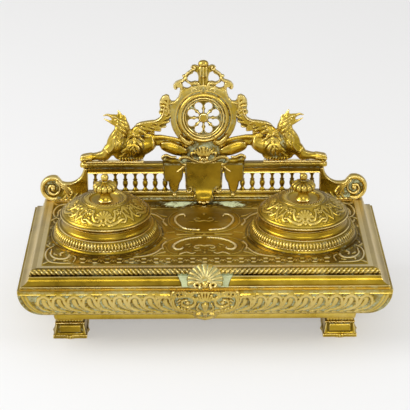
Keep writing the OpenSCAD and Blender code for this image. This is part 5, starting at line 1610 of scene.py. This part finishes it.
def crest():
    """The openwork crest round a bud, with curls on its shoulders and the knob on top."""
    middle = RAIL_MID
    half = loop_of((0, 103), (14, 99), (21.8, 97), (20.4, 100), (20.4, 102.4), (21.4, 104.2), (22.8, 103.8),
                   (23.4, 102.4), (25.4, 102.0), (26.9, 104), (26.8, 107), (24.8, 109.8), (22, 111.3),
                   (19.4, 111.9), (17.8, 112.8), (19, 114.4), (18.4, 116), (16.4, 116.4), (14.8, 118.2),
                   (12.6, 119.8), (10.9, 120.8), (11.3, 122.8), (9.8, 124.8), (7.2, 125.2), (4.6, 124.2),
                   (0, 124))
    window = loop_of((4.5, 114.4), (5.8, 117.6), (8.2, 118.7), (9.6, 116.6), (12.4, 115.4), (14.2, 113),
                     (13.5, 110.8), (11, 109.7), (7.4, 110.5), (4.6, 110.0))
    gap = loop_of((16.3, 109.7), (18.4, 108.2), (18, 105.4), (15.8, 104.2), (12.6, 104.2), (10.9, 105.1),
                  (11.8, 106.9), (14.4, 108.2))
    holes = [side * turn for side in (window, gap) for turn in ((1, 1), (-1, 1))]

    def relief(x, y):
        """The curls, the leaves on them, and the stems that run down to the plate."""
        w = Relief(np.abs(x), y)
        w.lay(whorl(8.4, 122.3, 40, -230, 2.3, 0.8, 14), (0.8, 1.1), 1.3)
        w.lay(curve((10, 120.2), (12.9, 118.4), (15.4, 115.8), (15.8, 112.6)), (0.9, 1.2, 0.9), 1.2, vein=0.3)
        w.lay([(17.6, 114.8)], 1.1, 1.0)
        w.lay(curve((15.4, 113.2), (18.6, 110.8), (22.6, 109.6), (25.2, 107.2), (25.2, 103.8)),
              (1.0, 1.5, 1.8, 1.3), 1.8, vein=0.5)
        for k in range(3):
            w.lay(curve((24 - 1.9 * k, 108.4 - 0.1 * k), (22.8 - 1.7 * k, 105.6), (21.6 - 1.2 * k, 103.6)),
                  (1.0, 1.3, 0.6), 1.7, vein=0.4)
        w.lay(curve((19.4, 104.4), (19.4, 101), (20.6, 98.4)), (1.3, 1.0, 0.9), 1.2)
        w.lay(curve((14.8, 111.6), (12.8, 109), (9.4, 108.2), (6.2, 108.6), (4.0, 106), (3.4, 101.6)),
              (0.8, 1.2, 1.6, 1.3), 1.9, vein=0.5)
        w.lay(curve((9.6, 108), (11.4, 106.2), (9.8, 104.6)), (1.2, 1.1, 0.6), 1.6, vein=0.3)
        w.lay(whorl(8.6, 101.6, 170, -120, 2.6, 1.0, 14), (1.0, 0.8), 1.6)
        return w.height, w.marked(0.3 + 0.7 * w.shade)

    parts = [plate(mirrored_loop(half), middle - 1.5, middle + 1.6, relief, edge=0.8, step=0.45, holes=holes)]
    bud = mirrored_loop([(0, 100.4), (1.4, 101), (1.5, 106), (2.3, 110.6), (3.6, 114.6), (4.8, 118.6),
                         (5.0, 121.6), (4.0, 124), (0, 124.6)])

    def veins(x, y):
        """The bud's swelling with its folds and an eye."""
        bulge = 1.9 * hump(y, 118.5, 5.5) + 0.6
        folds = 0.6 * np.abs(np.sin(x * 1.2))
        eye = hump(np.hypot(x, y - 114.8), 0, 1.1)
        return bulge - folds + eye, rise(folds, 0.35, 0.6) * 0.7

    parts.append(plate(bud, middle - 2.2, middle + 2, veins, edge=1.3, step=0.45))
    sepal = mirrored_loop([(0, 98), (3.6, 98.8), (0.8, 105.4), (0, 105.8)])
    # painted shade of a fold down the sepal's middle, which is itself flat
    painted_fold_shade = lambda x, y: (0 * x, 0.8 * hump(x, 0, 0.7))
    parts.append(plate(sepal, middle - 3.0, middle + 1.6, painted_fold_shade, edge=1, step=0.4))
    piece("crest_scrolls", in_gallery(weld(*parts)), GALLERY_BRASS, stands_for=("crest",))
    knob = turned([(0, 122.6), (2.8, 122.8), (4.0, 123.6), (4.7, 124.9), (4.7, 126.2), (4.0, 127.6),
                   (2.5, 128.6), (0, 129)], (0, middle, 0), 48, 0.5)
    piece("knob", in_gallery(knob), GRIFFIN_BRASS, stands_for=("crest_knob",))


def shield():
    """The blank shield with curled edges, its foot rolled onto the deck, under a bow and its ribbon."""
    half = loop_of((0, 37.6), (7, 37.4), (12.6, 38), (17.2, 38), (18.2, 34), (17.4, 28), (16.8, 20),
                   (16.6, 13.6), (15.8, 10), (13.6, 8.2), (11.2, 8.6), (9.4, 9.8), (8.4, 7.8), (9.4, 5.8),
                   (9.6, 3.2), (7.8, 0.8), (5.4, 0.8), (3.6, -0.5), (0, -0.9))

    def kick(up):
        """How far forward the shield's middle plane stands at each height."""
        return 2.7 + 0.9 * fall(up, 8, 24) + 2.7 * fall(up, -1, 14)

    def relief(x, y):
        """The curled edges round a swelling field, dirt and painted shade along them, painted shade at the
        foot, and raised curls painted pale.
        """
        w = Relief(np.abs(x), y)
        w.lay(curve((16.8, 31), (16.4, 20), (16, 13.6), (14.4, 9.8), (11.6, 10.2), (11.2, 13.2),
                    (13.4, 13.6)), (0.6, 0.75, 0.85, 0.6), 1.1)
        w.lay(curve((9.4, 12), (8.6, 7.6), (7.6, 3.0)), (0.6, 0.8, 0.6), 0.8)
        swell = 1.4 * hump(y, 4.6, 3.6) * np.clip(1 - (x / 9) ** 2, 0, 1)
        field = 0.9 * (1 - (np.clip(np.abs(x) / 16, 0, 1)) ** 2)
        edge = rise(np.abs(x), 15.4, 16.4) * (y > 13)
        # painted shade beside the curls and at the foot on the deck
        mark = np.maximum(0.5 * edge, 0.8 * w.shade * (w.height < 0.3)) + 0.4 * hump(y, 0.8, 1.4)
        # the raised curls are painted pale, as worn metal and a painted highlight
        return np.maximum(w.height, field) + swell, np.where(w.height > 0.9, -0.4, mark)

    mesh = plate(mirrored_loop(half), -1.3, 1.3, relief, edge=1.0, step=0.55)
    points = points_of(mesh) / MM
    points[:, 1] -= kick(points[:, 2])
    set_points(mesh, points * MM)
    parts = [mesh]
    ribbon = curve((0, 37.2), (5, 37.4), (10.4, 39.4), (15, 41.6), (19.4, 41.4), (21.6, 38.8), (19.8, 36),
                   (16.8, 34.2), (19.6, 31.2), (24.4, 27.6), steps=8)
    parts += both_sides(strand(ribbon, (1.1, 1.5, 1.65, 1.6, 1.5, 1.6, 1.4, 0.8), -3.8, 1.4))
    ear = loop_of((9, 37.6), (14, 40.2), (18.6, 41.0), (20.6, 38.4), (18.2, 35.6), (14, 35.6))
    parts += both_sides(plate(ear, -3.0, -0.6, lambda x, y: (0 * x, 1.15 + 0 * x), edge=0.8, step=0.6))
    parts.append(ball(0, -3.6, 38.6, (2.8, 1.6, 2.6)))
    parts += both_sides(ball(3.2, -3.2, 40.2, (1.2, 1.2, 2.0)))
    parts.append(ball(0, -10.2, 0.6, (1.7, 1.5, 1.3)))
    parts += both_sides(ball(3.4, -9.9, 1.2, (1.6, 1.2, 1.0)))
    piece("shield_casting", in_gallery(weld(*parts)), SHIELD_BRASS, stands_for=("shield",))


def lappet(side, sign):
    """A hanging lappet with a roll at its top and a bead at its tip."""
    outline = loop_of((17.4, 36.8), (21, 39.6), (26, 40.6), (30, 40.4), (34, 42.2), (37.2, 40.6), (36.8, 37),
                      (36.4, 31), (35.9, 22), (35.6, 19.6), (34, 18.6), (32, 18.4), (31.4, 14.6), (30, 10),
                      (28, 8.2), (26.2, 7.6), (24.4, 8.4), (22.6, 12), (21.6, 17), (19.6, 20.4), (18.6, 24),
                      (18.2, 30))

    def relief(x, y):
        """The fold at the top, the hems, and painted shade under the fold."""
        w = Relief(x, y)
        w.lay(curve((35.2, 36), (35.3, 28), (34.9, 20.6)), (0.7, 0.8), 0.6)
        w.lay(curve((31, 17.4), (30.4, 12.6), (27.6, 9.4)), (0.6, 0.8), 0.5)
        w.lay(curve((18.6, 37), (23, 38.4), (28, 38.0), (33, 39.8), (35.8, 38.4)),
              (1.2, 2.0, 2.2, 2.4, 1.4), 1.9)
        field = 0.7 * np.sqrt(np.clip(1 - ((x - 27) / 9.5) ** 2, 0, 1))
        # a band of painted shade under the fold
        return np.maximum(w.height, field), 0.75 * hump(y, 35.2, 0.8)

    parts = [plate(outline, -3.6, -1, relief, edge=1.0, step=0.6)]
    roll = curve((24, 41.4), (29, 41.2), (33.6, 42.8), (37, 41), (36.4, 38.4), steps=6)
    parts.append(strand(roll, (0.8, 1.2, 1.5, 1.3, 0.8), -1.4, 1.5))
    parts.append(ball(26.4, -2.4, 5.6, (1.9, 1.7, 2.0)))
    parts.append(ball(26.4, -2.3, 8.0, (1.2, 1.2, 0.7)))
    piece("lappet_casting_" + side, in_gallery(weld(*parts), sign), SHIELD_BRASS,
          stands_for=("lappet_" + side,))


# ---------- the griffins, across from the gallery's middle and up from the top of its rail ----------

# the grid that the limbs are melted on, and how often the skin is smoothed
SKIN_GRID = 0.62
SKIN_ROUNDS = 7


def add_limb(shape, balls, depth=0.82, out=0.0):
    """Adds a chain of balls (across, up, radius); depth flattens them, and out moves them back."""
    for (x0, z0, r0), (x1, z1, r1) in zip(balls, balls[1:]):
        for x, z, r in ((x0, z0, r0), (x1, z1, r1)):
            size = Matrix.Diagonal((r * MM, r * depth * MM, r * MM, 1))
            place = Matrix.Translation(Vector((x, RAIL_MID + out, z)) * MM)
            bmesh.ops.create_icosphere(shape, subdivisions=3, radius=1, matrix=place @ size)
        start, end = Vector((x0, 0, z0)), Vector((x1, 0, z1))
        gap = (end - start).length
        lean_by = math.asin(max(-0.95, min(0.95, (r0 - r1) / max(gap, 0.1))))
        turn = (end - start).to_track_quat("Z", "Y").to_matrix().to_4x4()
        shift = (end - start).normalized() * math.sin(lean_by)
        middle = (start + shift * r0 + end + shift * r1) / 2
        length = (end + shift * r1 - start - shift * r0).length
        flatten = Matrix.Diagonal((1, depth, 1, 1))
        place = Matrix.Translation((middle + Vector((0, RAIL_MID + out, 0))) * MM)
        bmesh.ops.create_cone(shape, cap_ends=True, segments=32, radius1=r0 * math.cos(lean_by) * MM,
                              radius2=r1 * math.cos(lean_by) * MM, depth=max(length, 0.01) * MM,
                              matrix=place @ flatten @ turn)


def melted(shape, voxel):
    """The closed bodies in the bmesh melted into one skin."""
    mesh = new_mesh(shape)
    holder = new_object("melting", mesh)
    remesh = holder.modifiers.new("skin", "REMESH")
    remesh.mode = "VOXEL"
    remesh.voxel_size = voxel * MM
    found = holder.evaluated_get(bpy.context.evaluated_depsgraph_get())
    skin = bpy.data.meshes.new_from_object(found)
    bpy.data.objects.remove(holder)
    bpy.data.meshes.remove(mesh)
    return skin


def smoothed(mesh, rounds):
    """The mesh with each point moved half the way to its neighbours' middle, a number of times."""
    here, other, number = neighbours(mesh)
    points = points_of(mesh)
    for _ in range(rounds):
        sums = [np.bincount(here, points[other, k], len(points)) for k in range(3)]
        points = points + 0.5 * (np.column_stack(sums) / number[:, None] - points)
    set_points(mesh, points)
    mesh.update()
    return mesh


def griffin_body():
    """Legs, body, neck and head as one skin, with its carved leaves, toes and eye."""
    shape = bmesh.new()
    for out in (-1.9, 1.9):
        add_limb(shape, [(108, 3.6, 3.5), (103, 5.0, 3.1), (96, 5.6, 3.0), (89, 6.4, 4.4)], out=out)
        add_limb(shape, [(89, 6.4, 4.8), (85.4, 11, 5.4), (80.6, 14.6, 6.8)], out=0.6 * out)
        add_limb(shape, [(75.4, 16.4, 7.0), (71.4, 17.4, 5.6)], out=1.2 * out)
        add_limb(shape, [(34.6, 15.2, 4.8), (31, 14.4, 5.8), (25, 12.2, 5.9), (18.2, 9.6, 4.6)],
                 out=0.3 * out)
    for chain in (
        [(79.6, 17.6, 7.6), (77.4, 22.4, 7.4), (74.4, 27, 6.9), (72.4, 31.6, 6.8), (73.0, 35.6, 5.8),
         (74.6, 37.4, 4.7)],
        [(74.8, 37.6, 4.6), (78.6, 40.2, 3.0), (82.2, 42.8, 1.8), (86.0, 44.2, 1.3), (89.4, 43.4, 0.9)],
        [(76.8, 35.8, 3.2), (80.6, 36.4, 2.1), (84.8, 38.2, 1.3), (88.8, 40.4, 0.9)],
        [(72.8, 38.8, 3.0), (74.4, 43.6, 2.1), (76.2, 48.2, 0.9)],
        [(70.6, 37.0, 2.6), (70.2, 41.0, 1.5), (70.8, 43.8, 0.8)],
        [(81.2, 43.2, 1.7), (77.6, 42.4, 2.0)],
        [(76, 14, 8.2), (70, 14.4, 9.0), (61, 14.2, 9.4), (54, 15.4, 8.6), (49.6, 16.8, 7.2)],
        [(76, 7.6, 5.4), (66, 6.6, 5.2), (57, 7.2, 4.6)],
        [(46, 23, 2.6), (38, 23.4, 2.2), (28, 21.8, 2.0), (19, 19.4, 2.0)],
        [(61.6, 24.4, 5.2), (60, 29, 4.8), (55.4, 32.4, 4.2), (50, 33.6, 3.4)],
        [(66, 26, 4.4), (69, 28, 3.8)],
        [(52, 25.6, 2.2), (45.4, 24.6, 1.8), (41.6, 21.4, 1.4)],
    ):
        add_limb(shape, chain)
    # the thin web behind the thigh
    add_limb(shape, [(46, 18, 3.4), (37, 18.6, 4.0), (27, 17.6, 3.4), (18, 15.4, 2.8)], depth=0.42, out=1.0)
    mesh = smoothed(melted(shape, SKIN_GRID), SKIN_ROUNDS)
    points, normal = points_of(mesh) / MM, points_of(mesh, "normal")
    w = Relief(points[:, 0], points[:, 2])
    # acanthus on the flank
    w.lay(curve((62.6, 27.6), (61.4, 23), (62.4, 17.6), (66, 12.6), (72, 9.4)), (0.9, 1.3, 0.8), 1.1)
    for leaf in (
        ((61.6, 26), (57, 24.4), (52.6, 20.4)), ((61.4, 22.6), (57, 19.4), (54.6, 14.6)),
        ((62, 19), (58.8, 14.8), (58.4, 10.4)), ((63.8, 15.6), (62.2, 11.2), (63.4, 7.4)),
        ((66.6, 12.8), (66.6, 8.8), (69, 6.0)), ((70, 10.6), (71.4, 7.4), (75, 6.4)),
        ((62.6, 26.6), (66.8, 24.4), (69.4, 20.6)), ((61.8, 22.8), (66, 20.4), (67.8, 16.4)),
        ((63, 18.4), (67, 16.6), (69.8, 13.2)), ((66.2, 13.6), (70, 13), (73.4, 11.2)),
    ):
        w.lay(curve(*leaf), (0.7, 1.9, 0.4), 1.35, vein=0.5)
    leaves = w.height.copy()
    # the head's brow, eye and cheek tufts
    w.lay([(78.6, 40.0)], 1.0, 0.7)
    w.lay(curve((81.6, 42.6), (78.4, 42.2), (75.6, 40.2)), (0.6, 0.9, 0.5), 0.8)
    for tuft in (((76.6, 38.4), (73, 36.4), (70.4, 32)), ((77, 36), (74.4, 33), (73, 28.8)),
                 ((73.6, 39.4), (69.6, 37.4), (67.6, 33.6)), ((70.4, 35), (67.4, 31.4), (66.6, 27.4)),
                 ((72.6, 31.6), (70, 28.4), (69.6, 24.6))):
        w.lay(curve(*tuft), (0.7, 1.3, 0.4), 0.9, vein=0.3)
    # toes, and the folds of elbow, thigh and haunch
    for toe in (((111.6, 5.6), (106, 7.4), (101, 7.8)), ((111.8, 3), (106, 3.8), (101, 4.4)),
                ((110.6, 0.6), (105, 1.2), (100.4, 2))):
        w.lay(curve(*toe), (1.2, 1.3, 0.5), 0.8)
    w.lay(curve((98, 8.4), (91, 9.8), (87.4, 14)), (0.5, 0.9, 0.6), 0.45)
    w.lay(curve((37.8, 17.8), (31, 19.2), (23, 16.4), (16, 12)), (0.7, 1.2, 0.9), 0.6)
    w.lay(curve((46.6, 24), (44.8, 18), (46, 12)), (0.6, 0.9, 0.5), 0.7)
    w.lay(curve((85.4, 9.4), (89, 15), (87, 21.6), (81.6, 26.4), (78.6, 31.6)), (0.6, 1.3, 0.9), 0.7)
    w.lay(curve((84, 11), (80.6, 16), (80.2, 22.6), (76, 27.6)), (0.5, 1.1, 0.5), 0.6)
    for tuft in (((79, 33), (77.4, 29.4), (78.4, 25.6)), ((75.6, 30), (74.2, 26.2), (75, 22)),
                 ((71.6, 26.6), (71, 22.6), (73, 18.6)), ((77, 25), (76.4, 21), (78, 17.4)),
                 ((69.6, 22.4), (69.8, 18.6), (72, 15))):
        w.lay(curve(*tuft), (0.7, 1.5, 0.4), 1.0, vein=0.4)
    for k in range(9):
        w.lay([(54 + 2.5 * k, 1.0), (55.4 + 2.5 * k, 4.4)], (1.3, 0.7), 1.3)
    facing = np.clip(np.abs(normal[:, 1]) * 1.4, 0, 1)
    points = points + normal * (w.height * facing)[:, None]
    set_points(mesh, points * MM)
    near = fall(np.hypot((points[:, 0] - 64) / 12, (points[:, 2] - 16) / 13), 0.8, 1)
    set_mark(mesh, "ground", near * fall(leaves, 0.05, 0.5) * facing * 0.8)
    return mesh


def griffin_wing():
    """The swept wing: long feathers with veins, under two rows of coverts."""
    tips = [(31.4, 52.4), (29.0, 48.4), (28.2, 43.6), (29.6, 38.6), (32.8, 34), (37.4, 30.2), (43.2, 27.6),
            (49.4, 26.6)]
    edge = [(60, 25), (63, 28), (62.4, 33), (60, 36), (56, 37.8), (49.4, 38.9), (43, 39.6), (39.2, 41.8),
            (36.8, 46), (36.6, 50), (34.6, 53)]
    trailing = []
    for (x0, z0), (x1, z1) in zip(tips, tips[1:]):
        trailing += [(x0 + 0.3, z0 - 1.2), (x0 + 1.0, z0 - 1.9), (x1 + 0.6, z1 + 1.1)]
    outline = loop_of(edge, tips[0], trailing, tips[-1], (55, 24.6))

    def relief(x, y):
        """The long feathers, the coverts over their roots, and the wing's rolled leading edge."""
        w = Relief(x, y)
        starts = [(57, 36), (57, 34.6), (56.6, 33), (56.6, 31.6), (56.8, 30.4), (57.4, 29.2), (58, 28),
                  (59, 27)]
        for k, ((x0, z0), (x1, z1)) in enumerate(zip(starts, tips)):
            bend = ((41.6 - 0.2 * k, 38.4 - 1.9 * k), (35.6 + 1.6 * k, 43 - 2.4 * k))
            w.lay(curve((x0, z0), (49.4, 36.8 - 1.35 * k), *bend[:1 + (k < 4)], (x1 + 0.4, z1 - 0.4)),
                  (1.2, 1.5, 1.7, 1.0), 1.3 - 0.03 * k, vein=0.45)
        rows = (((52, 37.4), (46, 35.4)), ((50.6, 35), (44.6, 32.4)), ((51.4, 32.4), (46.4, 29.8)),
                ((47.6, 38), (41.4, 36.2)), ((56, 36.6), (50.4, 34)), ((55.6, 33), (50.6, 30.4)),
                ((56.6, 30), (52.4, 27.4)))
        for (x0, z0), (x1, z1) in rows:
            w.lay([(x0, z0), (x1, z1)], (2.1, 0.9), 2.0, vein=0.4)
        w.lay(curve((61, 35), (56, 37), (49, 38.1), (42.6, 38.9), (38.4, 41.4), (35.8, 46), (35.2, 51)),
              (1.0, 1.3, 0.8), 1.9)
        w.lay(curve((35.2, 51), (34.6, 52.6), (32.6, 52.6), (32.4, 50.6)), (1.0, 1.2, 0.8), 2.2)
        return w.height, fall(w.height, 0.1, 0.7) * 0.9

    return plate(outline, RAIL_MID - 2.2, RAIL_MID + 2.2, relief, edge=1.2, step=0.5)


def griffins():
    """Both reclining griffins, one the mirror image of the other."""
    plinth = block((54, 0.4, -0.3), (110, RAIL_D - 0.4, 1.4), 0.4)
    right = weld(griffin_body(), griffin_wing(), plinth)
    right.transform(Matrix.Translation((0, 0, RAIL_TOP * MM)))
    left = placed(right.copy(), MIRRORED)
    for side, mesh in (("left", left), ("right", right)):
        piece("griffin_figure_" + side, in_gallery(mesh), GRIFFIN_BRASS, stands_for=("griffin_" + side,),
              crease=70)


CAST = brass("cast_brass_plain", age=0.85, polish=0.5, marks=False)
GLASS = pot_glass()
STEEL = fixing_steel()


def finish_solids():
    """Gives every solid its finish; those that a modelled piece stands for are hidden later."""
    for name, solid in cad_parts.items():
        finish = CAST
        if name.startswith("ink_pot"):
            finish = GLASS
        elif any(word in name for word in ("screws", "studs", "nut", "pin")):
            finish = STEEL
        solid.data.materials.clear()
        solid.data.materials.append(finish)


# ---------- camera, floor and light ----------

EYE = (-7.56, -1237.3, 654.06)
AHEAD = (0.00603, 0.91209, -0.40996)
CAMERA_ROLL = math.radians(-0.15)
LENS = 138.2
FLOOR_R = 6
FLOOR_GREYS = ((0.415, 0.428, 0.446), (0.425, 0.438, 0.456))
# the floor's own glow, painted light that lightens the shadows on it
FLOOR_GLOW = (0.40, 0.385, 0.362)
# how bright the room is from straight down or level (0) to straight up (1)
ROOM = ((0.0, (0.95, 0.95, 0.96)), (0.16, (0.75, 0.75, 0.76)), (0.34, (0.30, 0.30, 0.31)),
        (0.58, (0.42, 0.42, 0.43)), (0.80, (0.80, 0.80, 0.81)), (1.0, (0.92, 0.92, 0.92)))


def studio():
    """The camera, a plain pale floor that also glows, and soft lights."""
    camera_data = bpy.data.cameras.new("camera")
    camera_data.sensor_width = 36
    camera_data.lens = LENS
    camera_data.clip_end = 30
    camera = new_object("camera", camera_data)
    camera.location = Vector(EYE) * MM
    turn = Vector(AHEAD).normalized().to_track_quat("-Z", "Y").to_matrix()
    camera.rotation_euler = (turn @ Matrix.Rotation(CAMERA_ROLL, 3, "Z")).to_euler()
    bpy.context.scene.camera = camera

    shape = bmesh.new()
    bmesh.ops.create_circle(shape, cap_ends=True, radius=FLOOR_R, segments=96)
    mesh = new_mesh(shape)
    floor = new_object("floor", mesh)
    paint, inputs, place = new_material("floor_paper")
    shade = noise(place, 2, 2)
    wire(blend_colour(shade, *FLOOR_GREYS), inputs["Base Color"])
    inputs["Roughness"].default_value = 0.7
    # the floor glows, so the shadows on it are lighter: painted light
    inputs["Emission Color"].default_value = (*FLOOR_GLOW, 1)
    inputs["Emission Strength"].default_value = 1
    mesh.materials.append(paint)

    world = bpy.data.worlds.new("studio")
    bpy.context.scene.world = world
    world.use_nodes = True
    tree = world.node_tree
    sky = tree.nodes["Background"]
    up = node(tree, "ShaderNodeSeparateXYZ")
    wire(node(tree, "ShaderNodeTexCoord").outputs["Generated"], up.inputs[0])
    wire(ramp(up.outputs["Z"], ROOM), sky.inputs["Color"])
    sky.inputs["Strength"].default_value = 1.0

    def softbox(name, place, aim, width, height, power, colour=(1, 1, 1)):
        """A rectangular light at a place, turned to shine at its aim."""
        data = bpy.data.lights.new(name, "AREA")
        data.shape = "RECTANGLE"
        data.size = width
        data.size_y = height
        data.energy = power
        data.color = colour
        lamp = new_object(name, data)
        lamp.location = place
        lamp.rotation_euler = (Vector(aim) - Vector(place)).to_track_quat("-Z", "Y").to_euler()

    softbox("key", (-1.5, -0.2, 1.2), (0, 0, 0.08), 1.1, 1.0, 24, (1, 0.99, 0.97))
    softbox("fill", (1.5, -0.5, 1.2), (0, 0, 0.08), 0.7, 0.7, 8)
    softbox("front", (0.1, -1.9, 1.1), (0, 0, 0.1), 1.2, 0.5, 12)
    bpy.context.scene.view_settings.view_transform = "Standard"


# ---------- the whole inkstand ----------

finish_solids()
frieze()
cartouche()
for name in ("foot_front_left", "foot_front_right", "foot_rear_left", "foot_rear_right"):
    foot(name)
cornice()
deck()
shell()
for side, sign in SIDES:
    collar(side, sign * WELL_X)
    lid(side, sign * WELL_X)
    finial(side, sign * WELL_X)
bottom_rail()
top_rail()
medallion()
rosette()
crest()
shield()
griffins()
for side, sign in SIDES:
    scroll(side, sign)
    lappet(side, sign)
studio()
